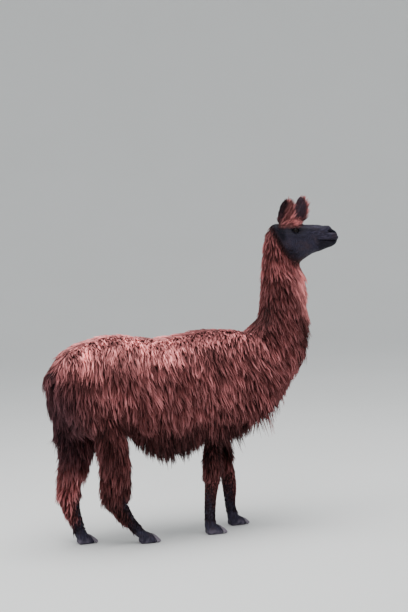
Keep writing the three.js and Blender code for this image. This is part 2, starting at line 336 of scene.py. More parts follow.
@dataclass
class Anatomy:
    """How much each place of the body belongs to each of its parts, from 0 to 1.

    The two numbers of a ramp are places in metres between which one part gives way to the next.

    Attributes:
        points: Positions, one row each.
        normals: Outward directions, one row each.
    """

    points: Array
    normals: Array

    def __post_init__(self) -> None:
        """Works out the weights from the positions."""
        x, y, z = self.points.T
        self.along, self.out, _ = HEAD.local(self.points).T
        self.upward = ramp(0.25, 0.9, self.normals[:, 2])
        self.downward = ramp(0.15, 0.85, -self.normals[:, 2])
        self.forward = ramp(-0.1, 0.6, self.normals[:, 0])
        self.rearward = ramp(0.0, 0.7, -self.normals[:, 0])
        self.head = ramp(-0.014, 0.014, HEAD.ahead(self.along, z)) * ramp(1.372, 1.392, z)
        self.ear = self.head * ramp(*HEAD.ear_base, z)
        self.face = self.head - self.ear
        crown = ramp(0.02, 0.05, self.along) * ramp(0.165, 0.13, self.along)
        self.topknot = self.face * crown * ramp(1.560, 1.588, z)
        self.jowl = self.face * ramp(0.150, 0.06, self.along) * ramp(1.500, 1.42, z)
        self.neck = (1.0 - self.head) * ramp(0.93, 1.10, z + 0.30 * (x - 0.45)) * ramp(0.22, 0.34, x)
        behind = ramp(-0.716, -0.730, x)
        self.tail = behind * ramp(0.075, 0.058, np.abs(y)) * ramp(0.925, 0.90, z) * ramp(0.53, 0.55, z)
        rear = ramp(-0.28, -0.36, x) * (1.0 - self.tail)
        self.rump = rear * ramp(0.52, 0.62, z)
        self.thigh = rear * ramp(0.66, 0.54, z)
        self.hock = rear * ramp(0.31, 0.24, z)
        fore = ramp(-0.10, -0.06, x) * ramp(0.34, 0.30, x)
        self.forearm = fore * ramp(0.44, 0.38, z)
        self.knee = fore * ramp(0.345, 0.28, z)
        beside = bell(self.along, HEAD.eye, 0.017) * ramp(0.045, 0.055, np.abs(self.out))
        self.lash = self.face * beside * bell(z, 1.5735, 0.0045)
        self.foot = ramp(0.085, 0.055, z)
        self.belly = self.downward * ramp(-0.42, -0.28, x) * ramp(0.66, 0.56, z) * ramp(0.36, 0.42, z)


# ---------------------------------------------------------------- the skin
@dataclass
class Skin:
    """One closed hide under the fleece, in place of every node of flesh.

    Attributes:
        fine: Size of the first, fine shell's squares in metres.
        body_share: Share of the faces that stay outside the head and the feet.
        ear_wool: Thickness in metres of the short wool on the ears.
        fine_head: Heights between which the head's faces are split once more.
        facets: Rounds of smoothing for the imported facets.
        slope: Rounds of smoothing for the depth that the hide is drawn in by.
        steps: Rounds of smoothing for the second shell.
    """

    fine: float = 0.0045
    body_share: float = 0.26
    ear_wool: float = 0.0045
    fine_head: tuple[float, float] = (1.375, 1.606)
    facets: int = 14
    slope: int = 12
    steps: int = 8
    item: bpy.types.Object = field(init=False)
    nodes: list[str] = field(init=False)

    def build(self) -> None:
        """Makes the hide's mesh."""
        self.nodes = [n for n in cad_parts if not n.startswith(("eye", "nail"))]
        self.item = self.joined()
        remeshed(self.item, self.fine)
        self.sink()
        remeshed(self.item, self.fine)
        self.relax()
        self.thin_out()
        self.refine_head()
        FaceShaping().apply(self.item.data)

    def joined(self) -> bpy.types.Object:
        """Copies all the flesh into one mesh.

        Returns:
            The object that holds it.
        """
        build = bmesh.new()
        for name in self.nodes:
            known = len(build.verts)
            build.from_mesh(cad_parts[name].data)
            build.verts.ensure_lookup_table()
            part = build.verts[known:]
            bmesh.ops.remove_doubles(build, verts=part, dist=1e-6)
            if name.startswith("ear"):
                build.verts.ensure_lookup_table()
                build.normal_update()
                for vertex in build.verts[known:]:
                    vertex.co += vertex.normal * self.ear_wool
        mesh = bpy.data.meshes.new("skin")
        build.to_mesh(mesh)
        build.free()
        return add_object("skin", mesh)

    def sink(self) -> None:
        """Rounds the facets and draws the hide in by the depth of the coat."""
        surface = Surface(self.item.data)
        parts = Anatomy(surface.points, surface.normals)
        soft = 0.5 - 0.35 * np.maximum(parts.head, parts.foot) - 0.13 * parts.ear
        surface.write(surface.smoothed(surface.points, self.facets, soft))
        parts = Anatomy(surface.points, surface.normals)
        inward = -surface.normals * coat_depth(parts)[:, None]
        surface.write(surface.points + surface.smoothed(inward, self.slope))

    def relax(self) -> None:
        """Evens out the steps that the second shell leaves."""
        surface = Surface(self.item.data)
        parts = Anatomy(surface.points, surface.normals)
        soft = 0.5 - 0.2 * np.maximum(parts.head, parts.foot) - 0.25 * parts.ear
        surface.write(surface.smoothed(surface.points, self.steps, soft))

    def thin_out(self) -> None:
        """Leaves large faces under the fleece and small ones where the skin shows."""
        surface = Surface(self.item.data)
        parts = Anatomy(surface.points, surface.normals)
        shown = np.maximum(parts.head, ramp(0.14, 0.10, surface.points[:, 2]))
        group = self.item.vertex_groups.new(name="covered")
        for index in np.nonzero(shown < 0.5)[0].tolist():
            group.add([index], 1.0, "REPLACE")
        modifier = self.item.modifiers.new("fewer", "DECIMATE")
        modifier.ratio = self.body_share
        modifier.vertex_group = group.name
        settle(self.item, modifier)
        self.item.vertex_groups.clear()
        for face in self.item.data.polygons:
            face.use_smooth = True

    def refine_head(self) -> None:
        """Splits the faces of the head once more, for its folds and lids."""
        build = bmesh.new()
        build.from_mesh(self.item.data)
        along, _, up = HEAD.local(np.array([edge.verts[0].co for edge in build.edges])).T
        low, high = self.fine_head
        wanted = (along > 0.02) & (up > low) & (up < high)
        edges = [edge for edge, fine in zip(build.edges, wanted) if fine]
        bmesh.ops.subdivide_edges(build, edges=edges, cuts=1, use_grid_fill=True)
        build.to_mesh(self.item.data)
        build.free()

    def unwrap(self) -> None:
        """Lays the skin's own shape flat, as the places that the locks' colours are kept at."""
        bpy.context.view_layer.objects.active = self.item
        self.item.select_set(True)
        self.item.data.uv_layers.new(name="RootMap")
        bpy.ops.object.mode_set(mode="EDIT")
        bpy.ops.mesh.select_all(action="SELECT")
        bpy.ops.uv.smart_project(angle_limit=math.radians(66.0), island_margin=0.002)
        bpy.ops.object.mode_set(mode="OBJECT")
        self.item.select_set(False)

    def dress(self, finish: bpy.types.Material) -> None:
        """Writes what the coat grows by onto the hide and gives it its finish.

        Args:
            finish: Material of the hide.
        """
        surface = Surface(self.item.data)
        Growth(Anatomy(surface.points, surface.normals)).write(surface)
        self.unwrap()
        self.item.data.materials.append(finish)

    def mount(self) -> None:
        """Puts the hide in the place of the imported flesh."""
        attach(self.item, BODY)
        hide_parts(*self.nodes)
        LOG.info("%s: %d faces", self.item.name, len(self.item.data.polygons))


# ---------------------------------------------------------------- shaping the face
@dataclass(frozen=True)
class Swell:
    """One swelling or hollow on both sides of the face.

    Attributes:
        along: Where it is along the head.
        up: Its height.
        reach: Half its size along and up.
        rise: How far it stands out; a hollow is below zero.
        tilt: Degrees that its long side rises towards the nose.
        out: Least distance from the middle of the head at which it is felt.
    """

    along: float
    up: float
    reach: tuple[float, float]
    rise: float
    tilt: float = 0.0
    out: float = 0.012

    def height(self, local: Array) -> Array:
        """How far each place is raised along its normal.

        Args:
            local: Places in the head's frame.

        Returns:
            Metres for each place.
        """
        angle = math.radians(self.tilt)
        a, u = local[:, 0] - self.along, local[:, 2] - self.up
        long = (a * math.cos(angle) + u * math.sin(angle)) / self.reach[0]
        wide = (u * math.cos(angle) - a * math.sin(angle)) / self.reach[1]
        sideways = ramp(self.out * 0.4, self.out * 1.4, np.abs(local[:, 1]))
        return self.rise * np.exp(-(long * long + wide * wide)) * sideways


SWELLS = (
    Swell(0.112, 1.583, (0.030, 0.010), 0.0060),                # brow
    Swell(0.150, 1.546, (0.020, 0.012), -0.0050, tilt=-25.0),   # hollow before the eye
    Swell(0.120, 1.527, (0.040, 0.009), 0.0035, tilt=-8.0),     # cheek bone
    Swell(0.078, 1.468, (0.036, 0.036), 0.0040),                # jaw muscle
    Swell(0.175, 1.500, (0.038, 0.018), -0.0045, tilt=-12.0),   # hollow of the cheek
    Swell(0.215, 1.560, (0.060, 0.008), 0.0030, tilt=-5.0),     # edge of the nose bone
    Swell(0.235, 1.520, (0.045, 0.012), -0.0025, tilt=-6.0),    # side of the nose
    Swell(0.285, 1.560, (0.022, 0.008), 0.0060, tilt=-20.0),    # upper wing of the nostril
    Swell(0.310, 1.524, (0.020, 0.009), 0.0050, tilt=4.0),      # lower wing of the nostril
    Swell(0.326, 1.508, (0.016, 0.009), 0.0060, out=0.001),     # upper lip
    Swell(0.300, 1.481, (0.024, 0.008), 0.0030, out=0.004),     # lower lip
    Swell(0.334, 1.478, (0.014, 0.012), -0.0060, out=0.001),    # set back of the lower lip
    Swell(0.292, 1.563, (0.030, 0.014), 0.0080, out=0.001),     # tip of the nose bone
    Swell(0.322, 1.540, (0.018, 0.016), 0.0070, out=0.001),     # end of the nose
    Swell(0.220, 1.455, (0.050, 0.014), 0.0060, out=0.001),     # edge of the jaw
)


@dataclass(frozen=True)
class FaceShaping:
    """Folds, lids, nostrils and mouth of the face.

    Attributes:
        eye_out: How far their centres are from its middle.
        eye_up: Height of their centres.
        eye_radius: Radius of the eyeballs.
        opening: Half the length and half the height of the opening between the lids.
        lid: Thickness of the lids.
        lid_slant: Degrees that the opening rises towards the nose.
        lid_reach: Distance from the eye at which its lids end.
        mouth_up: Height of the mouth line at its front.
        mouth_slope: How far the mouth line rises for each metre towards its corner.
        mouth: Depth of the mouth line and half its width.
        nostril: Depth of the nostrils and half their width.
        nostril_slant: Degrees that the nostrils rise towards the nose.
        cleft: Depth of the groove in the upper lip and half its width.
    """

    eye_out: float = 0.059
    eye_up: float = 1.556
    eye_radius: float = 0.018
    opening: tuple[float, float] = (0.0185, 0.0115)
    lid: float = 0.0022
    lid_slant: float = -8.0
    lid_reach: float = 0.036
    mouth_up: float = 1.492
    mouth_slope: float = 0.02
    mouth: tuple[float, float] = (0.0080, 0.0032)
    nostril: tuple[float, float] = (0.013, 0.0050)
    nostril_slant: float = -20.0
    cleft: tuple[float, float] = (0.005, 0.0030)

    def apply(self, mesh: bpy.types.Mesh) -> None:
        """Shapes the head's part of the skin.

        Args:
            mesh: The skin's mesh.
        """
        surface = Surface(mesh)
        parts = Anatomy(surface.points, surface.normals)
        local = HEAD.local(surface.points)
        raised = sum(swell.height(local) for swell in SWELLS)
        raised = raised + self.lips(local) + self.nostrils(local) + self.groove(local)
        moved = surface.points + surface.normals * (raised * parts.face)[:, None]
        local = self.lids(HEAD.local(moved))
        surface.write(mixed(moved, HEAD.places(local), parts.face))

    def lips(self, local: Array) -> Array:
        """Height of the line between the lips, below zero.

        Args:
            local: Places in the head's frame.

        Returns:
            Metres for each place.
        """
        along, _, up = local.T
        line = self.mouth_up + self.mouth_slope * (0.335 - along) + 0.006 * ramp(0.262, 0.235, along)
        reach = ramp(0.228, 0.248, along)
        front = 1.0 - 0.75 * ramp(0.314, 0.330, along)
        return -self.mouth[0] * bell(up, line, self.mouth[1]) * reach * front

    def nostrils(self, local: Array) -> Array:
        """Height of the two slanting slits, below zero.

        Args:
            local: Places in the head's frame.

        Returns:
            Metres for each place.
        """
        along, out, up = local.T
        angle = math.radians(self.nostril_slant)
        da, du = along - HEAD.nostril[0], up - HEAD.nostril[1]
        long = da * math.cos(angle) + du * math.sin(angle)
        wide = du * math.cos(angle) - da * math.sin(angle) + 7.0 * long * long
        ends = ramp(0.022, 0.013, np.abs(long)) * ramp(0.008, 0.014, np.abs(out))
        return -self.nostril[0] * bell(wide, 0.0, self.nostril[1]) * ends

    def groove(self, local: Array) -> Array:
        """Height of the groove that parts the upper lip, below zero.

        Args:
            local: Places in the head's frame.

        Returns:
            Metres for each place.
        """
        along, out, up = local.T
        ends = ramp(0.300, 0.318, along) * ramp(1.490, 1.497, up) * ramp(1.545, 1.530, up)
        return -self.cleft[0] * bell(out, 0.0, self.cleft[1]) * ends

    def lids(self, local: Array) -> Array:
        """Draws the skin over each eyeball and opens it in an almond.

        Args:
            local: Places in the head's frame.

        Returns:
            The places with lids round the eyes.
        """
        side = np.sign(local[:, 1])
        centre = rows(HEAD.eye, side * self.eye_out, self.eye_up)
        away = local - centre
        flat = np.hypot(away[:, 0], away[:, 2])
        near = (flat < self.lid_reach) & (np.abs(local[:, 1]) > 0.03)
        tilt = math.radians(self.lid_slant)
        du = away[:, 0] * math.cos(tilt) + away[:, 2] * math.sin(tilt)
        dv = away[:, 2] * math.cos(tilt) - away[:, 0] * math.sin(tilt)
        half = self.opening[1] * np.where(dv > 0, 1.0, 0.85)
        inside = np.sqrt((du / self.opening[0]) ** 2 + (dv / half) ** 2)
        closed = ramp(0.92, 1.10, inside)
        cover = self.eye_radius + self.lid
        bulge = np.sqrt(np.maximum(cover**2 - flat**2, 0.0))
        outer = centre[:, 1] + side * bulge
        lifted = np.where(side > 0, np.maximum(local[:, 1], outer), np.minimum(local[:, 1], outer))
        lifted = mixed(local[:, 1], lifted, near * ramp(self.lid_reach, 0.020, flat))
        behind = centre[:, 1] + side * 0.004
        result = local.copy()
        result[:, 1] = np.where(near, mixed(behind, lifted, closed), local[:, 1])
        return result


def coat_depth(p: Anatomy) -> Array:
    """Distance from the tips of the coat down to the skin.

    Args:
        p: Anatomy of the places.

    Returns:
        Metres for each place.
    """
    return layered(
        0.033,
        (0.020, p.upward),
        (0.085, p.belly),
        (0.026, p.neck),
        (0.026, p.thigh),
        (0.010, p.hock),
        (0.018, p.forearm),
        (0.006, p.knee),
        (0.014, p.tail),
        (0.0, p.foot),
        (0.003, p.head),
        (0.012, p.jowl),
        (0.014, p.topknot),
    )


# ---------------------------------------------------------------- the eyes
@dataclass(frozen=True)
class Eyeball:
    """One wet eye with a raised cornea and a level pupil, in place of its node.

    Attributes:
        name: Name of the piece.
        node: Name of the node that it replaces.
        side: 1 for the left eye, -1 for the right one.
        rings: Rings of faces from the cornea to the back.
        segments: Faces round each ring.
        cornea: How far the cornea stands out, as a share of the radius.
        cornea_edge: Angle from the axis, in radians, at which it ends.
        pupil: Half the width and half the height of the pupil, as shares of the radius.
        gaze: Direction that the eye looks in, along the head, out and up.
    """

    name: str
    node: str
    side: float
    rings: int = 28
    segments: int = 40
    cornea: float = 0.056
    cornea_edge: float = 0.75
    pupil: tuple[float, float] = (0.34, 0.15)
    gaze: tuple[float, float, float] = (0.28, 1.0, 0.04)

    def build(self, finish: bpy.types.Material) -> None:
        """Makes the eye.

        Args:
            finish: Material of the eye.
        """
        low, high = (np.array(corner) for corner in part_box(self.node))
        centre, radius = (low + high) / 2.0, float(high[2] - low[2]) / 2.0
        gaze = HEAD.directions(np.array([self.gaze]) * (1.0, self.side, 1.0))[0]
        gaze = gaze / np.linalg.norm(gaze)
        level = np.cross(UP, gaze)
        level = level / np.linalg.norm(level)
        rise = np.cross(gaze, level)
        build = bmesh.new()
        from_axis = build.verts.layers.float.new("from_axis")
        pupil = build.verts.layers.float.new("pupil")
        circles = []
        for row in range(self.rings + 1):
            angle = math.pi * row / self.rings
            bulge = 1.0 + self.cornea * max(0.0, 1.0 - angle / self.cornea_edge) ** 0.5
            count = 1 if row in (0, self.rings) else self.segments
            verts = []
            for step in range(count):
                turn = 2.0 * math.pi * step / self.segments
                wide = math.sin(angle) * math.cos(turn)
                tall = math.sin(angle) * math.sin(turn)
                spot = gaze * math.cos(angle) + level * wide + rise * tall
                vertex = build.verts.new(centre + spot * radius * bulge)
                vertex[from_axis] = angle
                inside = (wide / self.pupil[0]) ** 2 + (tall / self.pupil[1]) ** 2 < 1.0
                vertex[pupil] = float(inside and angle < 1.0)
                verts.append(vertex)
            circles.append(verts)
        for above, below in zip(circles, circles[1:]):
            for step in range(self.segments):
                after = (step + 1) % self.segments
                corners = [above[step % len(above)], below[step % len(below)]]
                corners += [below[after % len(below)], above[after % len(above)]]
                build.faces.new(list(dict.fromkeys(corners)))
        bmesh.ops.recalc_face_normals(build, faces=build.faces)
        for face in build.faces:
            face.smooth = True
        mesh = bpy.data.meshes.new(self.name)
        build.to_mesh(mesh)
        build.free()
        mesh.materials.append(finish)
        item = add_object(self.name, mesh)
        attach(item, BODY)
        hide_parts(self.node)
        LOG.info("%s: %d faces", item.name, len(mesh.polygons))


# ---------------------------------------------------------------- how the coat grows
class Region(Enum):
    """Parts of the coat, each a piece of its own."""

    NECK_RIGHT = "coat_neck_right"
    NECK_LEFT = "coat_neck_left"
    SHOULDER_RIGHT = "coat_shoulder_right"
    SHOULDER_LEFT = "coat_shoulder_left"
    FLANK_RIGHT = "coat_flank_right"
    FLANK_LEFT = "coat_flank_left"
    RUMP_RIGHT = "coat_rump_right"
    RUMP_LEFT = "coat_rump_left"
    BACK = "coat_back"
    BELLY = "coat_belly"
    LEG_HIND_RIGHT = "coat_leg_hind_right"
    LEG_HIND_LEFT = "coat_leg_hind_left"
    LEGS_FRONT = "coat_legs_front"
    TAIL = "coat_tail"
    HEAD = "coat_head"
    SHINS = "coat_shins"

    @property
    def number(self) -> int:
        """The region's place in the list, as the skin's faces carry it."""
        return list(Region).index(self)


# The hem of the fleece from the tail to the breast: how far forward, and how high its tips end.
HEM = (
    (-0.80, 0.50), (-0.46, 0.52), (-0.40, 0.62), (-0.346, 0.567), (-0.271, 0.492), (-0.219, 0.447),
    (-0.164, 0.455), (-0.109, 0.485), (-0.036, 0.525), (0.08, 0.50), (0.20, 0.545), (0.30, 0.575),
    (0.37, 0.62), (0.465, 0.72), (0.60, 0.86),
)


@dataclass
class Growth:
    """Lie, length and colour of the coat over the skin.

    Attributes:
        parts: Anatomy of the skin's vertices.
    """

    parts: Anatomy

    def lie(self) -> Array:
        """Works out the direction in which the locks lie.

        Returns:
            One direction of length one for each place.
        """
        p = self.parts
        x, y, z = p.points.T
        drift = 0.10 + 0.22 * ramp(0.10, 0.40, x) - 0.30 * ramp(-0.55, -0.76, x)
        drift = mixed(drift, 0.40 - 0.25 * ramp(1.0, 1.3, z), p.neck)
        drift += 0.5 * p.neck * ramp(1.25, 1.42, z) * ramp(0.46, 0.56, x)
        drift = mixed(drift, -0.10 - 0.15 * p.rearward, np.maximum(p.thigh, p.forearm))
        down = rows(drift, 0.0, -1.0)
        over = rows(-0.25, 1.1 * np.tanh(y / 0.03), -0.5)
        back = rows(-1.0, 0.25 * np.sign(p.out), -0.35)
        forelock = rows(0.55 - 7.0 * (p.along - 0.10), p.out * 6.0, 0.75)
        lashes = HEAD.directions(rows(0.35, np.sign(p.out), -0.15))
        upright = rows(-0.05, 0.0, 0.15 + 0.85 * ramp(*HEAD.ear_tip, z))
        flow = mixed(down, over, p.upward * (1.0 - p.head))
        flow = mixed(flow, HEAD.directions(back), p.face)
        flow = mixed(flow, HEAD.directions(forelock), p.topknot)
        flow = mixed(flow, upright, p.ear)
        flat = unit(along_surface(flow, p.normals))
        flat = unit(mixed(flat, down, self.hang() * (1.0 - p.head) * 0.85))
        curls = p.ear * self.ear_open()
        ahead = HEAD.directions(np.array([[0.80, 0.0, 0.3]]))
        flat = flat + p.normals * (0.7 * curls + 0.35 * p.topknot)[:, None] + ahead * curls[:, None]
        return unit(mixed(flat, lashes, p.lash))

    def hang(self) -> Array:
        """Works out how freely the locks hang clear of the body.

        Returns:
            A number from 0 to 1 for each place.
        """
        p = self.parts
        x, _, z = p.points.T
        free = np.maximum(p.belly, p.tail * 0.06)
        front = p.neck * ramp(0.15, 0.8, p.normals[:, 0]) * 0.20
        legs = np.maximum(p.thigh, p.forearm) * (1.0 - np.maximum(p.hock, p.knee)) * 0.08
        cannon = p.thigh * p.rearward * ramp(0.10, 0.15, z) * 0.14
        skirt = p.rump * ramp(0.70, 0.62, z) * 0.35
        fringe = ramp(0.20, 0.27, x) * ramp(0.54, 0.44, x) * ramp(0.80, 0.68, z) * 0.55
        free = strongest(free, front, legs, cannon, skirt, fringe) * (1.0 - p.head)
        return strongest(free, p.ear * self.ear_open() * 0.12, p.topknot * 0.06, p.lash * 0.06)

    def length(self) -> Array:
        """Works out the length of the locks.

        Returns:
            Metres for each place.
        """
        p = self.parts
        x, _, z = p.points.T
        value = layered(
            0.105,
            (0.078, p.upward),
            (0.085, p.neck),
            (0.045, p.neck * ramp(1.42, 1.52, z)),
            (0.125, p.belly),
            (0.095, p.thigh),
            (0.060 - 0.046 * p.forward, p.hock),
            (0.012 + 0.040 * p.rearward, p.hock * ramp(0.18, 0.11, z)),
            (0.150, p.thigh * p.rearward * ramp(0.50, 0.58, z)),
            (0.070, p.forearm),
            (0.014 + 0.014 * p.forward, p.knee),
            (0.120, p.tail),
            (0.006, p.foot),
            (0.011, p.face),
            (0.030, p.jowl),
            (0.042, p.topknot),
        )
        room = np.maximum(z - np.interp(x, *zip(*HEM)), 0.025)
        thigh = p.thigh * ramp(-0.36, -0.41, x)
        trunk = (1.0 - p.head) * (1.0 - thigh) * (1.0 - p.forearm) * (1.0 - p.tail) * (1.0 - p.neck)
        value = mixed(value, np.minimum(value, room), trunk)
        value = mixed(value, 0.013, p.lash)
        curls = self.ear_open() * (0.45 + 0.55 * ramp(*HEAD.ear_tip, z))
        return mixed(value, 0.010 + 0.036 * curls, p.ear)

    def thickness(self) -> Array:
        """Works out how densely the locks stand.

        Returns:
            Share of the region's density for each place.
        """
        p = self.parts
        share = layered(
            0.6,
            (0.9, p.upward),
            (0.16, np.maximum(p.face, p.foot)),
            (1.0, strongest(p.ear, p.topknot, p.jowl, p.lash)),
        )
        return share * ramp(0.025, 0.045, p.points[:, 2])

    def width(self) -> Array:
        """Works out half the width of one lock.

        Returns:
            Metres for each place.
        """
        p = self.parts
        return layered(
            0.0031,
            (0.0050, p.upward),
            (0.0028, p.neck),
            (0.0026, p.hock),
            (0.0024, p.knee),
            (0.0006, np.maximum(p.foot, p.face)),
            (0.0020, np.maximum(p.topknot, p.jowl)),
            (0.0018, p.ear),
        )

    def ear_front(self) -> Array:
        """Measures how far each place of the ears looks to the side that they open to.

        Returns:
            A number from -1 to 1 for each place.
        """
        p = self.parts
        angle = np.radians(np.where(p.out < 0.0, -74.0, 52.0))
        opening = HEAD.directions(rows(np.cos(angle), np.sin(angle), 0.0))
        return np.sum(opening * p.normals, axis=1)

    def ear_open(self) -> Array:
        """Where the pale wool of the open side of the ears grows."""
        return ramp(-0.25, 0.35, self.ear_front())

    def black(self) -> Array:
        """Finds the black parts: face, feet, fronts of the shanks, tail and backs of the ears, with
        painted shade on the inner thighs and, partly, on the rump's lower rear.

        Returns:
            A number from 0 to 1 for each place.
        """
        p = self.parts
        x, y, z = p.points.T
        hind = x < -0.2
        shank = hind * np.maximum(p.forward * ramp(0.33, 0.24, z), ramp(0.16, 0.09, z))
        streak = 0.9 * p.forward * ramp(0.12, 0.20, z)
        shin = ~hind * ramp(0.27, 0.15, z) * (1.0 - streak)
        mask = p.face * (1.0 - p.topknot) * ramp(1.385, 1.425, z)
        # Painted shade: the upper inner sides of the thighs are darkened, where shade falls between the
        # legs.
        inner_thigh_shade = p.thigh * ramp(0.2, -0.6, p.normals[:, 1] * np.sign(y)) * ramp(0.40, 0.46, z) * 0.5
        # The rump's lower rear: partly its own near-black wool, partly painted shade under the rump and
        # between the legs.
        behind = ramp(-0.56, -0.74, x + 0.25 * (z - 0.8)) * ramp(1.00, 0.84, z) * ramp(0.40, 0.50, z)
        middle = np.interp(z, (1.60, 1.64, 1.70), (0.058, 0.070, 0.094))
        rim = (p.out < 0.0) * ramp(-0.010, -0.020, p.along - middle)
        ear = p.ear * np.maximum(ramp(0.25, -0.25, self.ear_front()), rim) * 0.95
        return strongest(mask, shank, shin, p.foot, p.tail * 0.65, inner_thigh_shade, behind * 0.75, ear)

    def light(self) -> Array:
        """Works out how light the brown is: lighter where light is painted on the upward faces, and darker
        towards the hem and the knees, partly the wool's own darker brown and partly painted shade.

        Returns:
            What the brown is multiplied by at each place.
        """
        p = self.parts
        _, y, z = p.points.T
        # Darker towards the hem, the rump's underside and the belly: partly the wool's own darker brown,
        # partly painted shade on the lower body.
        value = 1.0 - 0.10 * ramp(0.90, 0.80, z) - 0.60 * ramp(0.76, 0.54, z)
        # Painted light: places that face upwards are lightened by 0.12.
        value = value * (1.0 - 0.35 * p.rump * ramp(0.74, 0.60, z)) * (1.0 + 0.12 * p.upward)
        value = mixed(value, 0.23, p.belly)
        value = mixed(value, 0.62 - 0.28 * ramp(0.40, 0.30, z), p.thigh)
        # Painted light: the low thigh of the far (left) hind leg is lightened against the shade that falls
        # between the legs.
        value = mixed(value, 1.35, p.thigh * (y > 0.0) * ramp(0.46, 0.38, z))
        value = mixed(value, 0.60, p.forearm)
        value = mixed(value, 0.70, p.knee)
        value = mixed(value, 0.60 + 0.55 * ramp(1.24, 1.40, z), p.neck)
        value = mixed(value, 1.7, p.neck * ramp(-0.3, 0.7, p.normals[:, 0]) * ramp(1.08, 1.25, z))
        value = mixed(value, 1.05, np.maximum(p.topknot, p.ear))
        return value * (0.75 + 0.5 * mottle(p.points, 0.09))

    def sun(self) -> Array:
        """Finds where weather has bleached the tips: the top, the throat, the ears and the forelock.

        Returns:
            A number from 0 to 1 for each place.
        """
        p = self.parts
        x, y, z = p.points.T
        top = ramp(0.90, 1.03, z + 0.10 * np.abs(y)) * (0.26 + 0.70 * ramp(0.04, -0.16, x))
        blotch = 0.62 + 0.55 * mottle(p.points, 0.07)
        side = 0.14 * ramp(0.66, 0.84, z) * mottle(p.points, 0.05)
        value = np.maximum(top * blotch, side) * (1.0 - p.neck) * ramp(0.46, 0.34, x) * (1.0 - p.head)
        throat = 0.62 * p.neck * ramp(-0.2, 0.7, p.normals[:, 0]) * ramp(1.06, 1.20, z)
        return strongest(value, throat, 0.75 * p.topknot, 0.60 * p.ear)

    def face_shade(self) -> Array:
        """Finds where shade is painted on the face: round the eye, in the nostril, under the lip and at
        the jaw corner; also darker at the nape.

        Returns:
            A number from 0 to 1 for each place.
        """
        p = self.parts
        a, z = p.along, p.points[:, 2]
        brow = bell(a, HEAD.eye, 0.070) * bell(z, 1.560, 0.030)
        lip = ramp(0.215, 0.245, a) * ramp(1.512, 1.492, z)
        nape = ramp(0.085, 0.050, a) * ramp(1.480, 1.520, z)
        corner = bell(a, 0.085, 0.030) * bell(z, 1.420, 0.020)
        nose = bell(a, HEAD.nostril[0], 0.020) * bell(z, HEAD.nostril[1], 0.009)
        return p.face * strongest(brow, 0.8 * lip, nose, 0.9 * nape, 0.7 * corner)

    def grain(self) -> Array:
        """Stretches the places along the short hairs, for their bump.

        Returns:
            Rows of stretched places.
        """
        p = self.parts
        fine, long = 1.0, 0.16
        stretch = p.points * np.array([fine, fine, long])
        local = HEAD.local(p.points) * np.array([long, fine, fine])
        cheek = bell(p.along, 0.115, 0.050) * ramp(1.535, 1.510, p.points[:, 2])
        return mixed(stretch, local, p.face * (1.0 - cheek))

    def strands(self) -> Array:
        """Finds where single clumps hang on below the hem.

        Returns:
            A number from 0 to 1 for each place.
        """
        p = self.parts
        x, _, z = p.points.T
        low = ramp(0.26, 0.10, z - np.interp(x, *zip(*HEM)))
        breast = 0.2 + 0.8 * ramp(0.08, 0.16, x)
        return low * breast * (1.0 - p.thigh) * (1.0 - p.forearm) * (1.0 - p.head)

    def region(self, centres: Array, normals: Array) -> Array:
        """Shares the skin's faces out to the pieces of the coat.

        Args:
            centres: Centres of the faces.
            normals: Outward directions of the faces.

        Returns:
            Number of one region for each face.
        """
        p = Anatomy(centres, normals)
        x, y, z = centres.T
        shins = (z < np.where(x < -0.2, 0.115, 0.225)) & (p.tail < 0.5)
        owners = (
            (x < -0.42, Region.RUMP_RIGHT, Region.RUMP_LEFT),
            (x > 0.02, Region.SHOULDER_RIGHT, Region.SHOULDER_LEFT),
            ((p.upward > 0.5) & (x < 0.30), Region.BACK, Region.BACK),
            (p.belly > 0.5, Region.BELLY, Region.BELLY),
            (p.neck > 0.5, Region.NECK_RIGHT, Region.NECK_LEFT),
            (p.thigh > 0.5, Region.LEG_HIND_RIGHT, Region.LEG_HIND_LEFT),
            (p.forearm > 0.5, Region.LEGS_FRONT, Region.LEGS_FRONT),
            (shins, Region.SHINS, Region.SHINS),
            (p.tail > 0.5, Region.TAIL, Region.TAIL),
            (p.head > 0.5, Region.HEAD, Region.HEAD),
        )
        right = y < 0.0
        number = np.where(right, Region.FLANK_RIGHT.number, Region.FLANK_LEFT.number)
        for here, on_right, on_left in owners:
            number = np.where(here, np.where(right, on_right.number, on_left.number), number)
        return number

    def write(self, surface: Surface) -> None:
        """Keeps every field on the skin, for the coat's trees and for the finishes.

        Args:
            surface: The skin's surface.
        """
        p = self.parts
        lift = 1.0 - 0.6 * p.face + 0.25 * p.upward * (1.0 - p.head)
        fields = {
            "lie": unit(surface.smoothed(self.lie(), 14)),
            "hang": surface.smoothed(self.hang(), 4),
            "long": surface.smoothed(self.length(), 6),
            "strand": self.strands(),
            "depth": coat_depth(p) * lift,
            "thick": self.thickness(),
            "wide": self.width(),
            "black": surface.smoothed(self.black(), 2),
            "light": self.light(),
            "face_shade": self.face_shade(),
            "grain": self.grain(),
            "sun": self.sun(),
        }
        for name, values in fields.items():
            surface.store(name, values, "FLOAT_VECTOR" if values.ndim > 1 else "FLOAT")
        faces = surface.mesh.polygons
        numbers = self.region(read_rows(faces, "center"), read_rows(faces, "normal"))
        surface.store("region", numbers, "INT", "FACE")


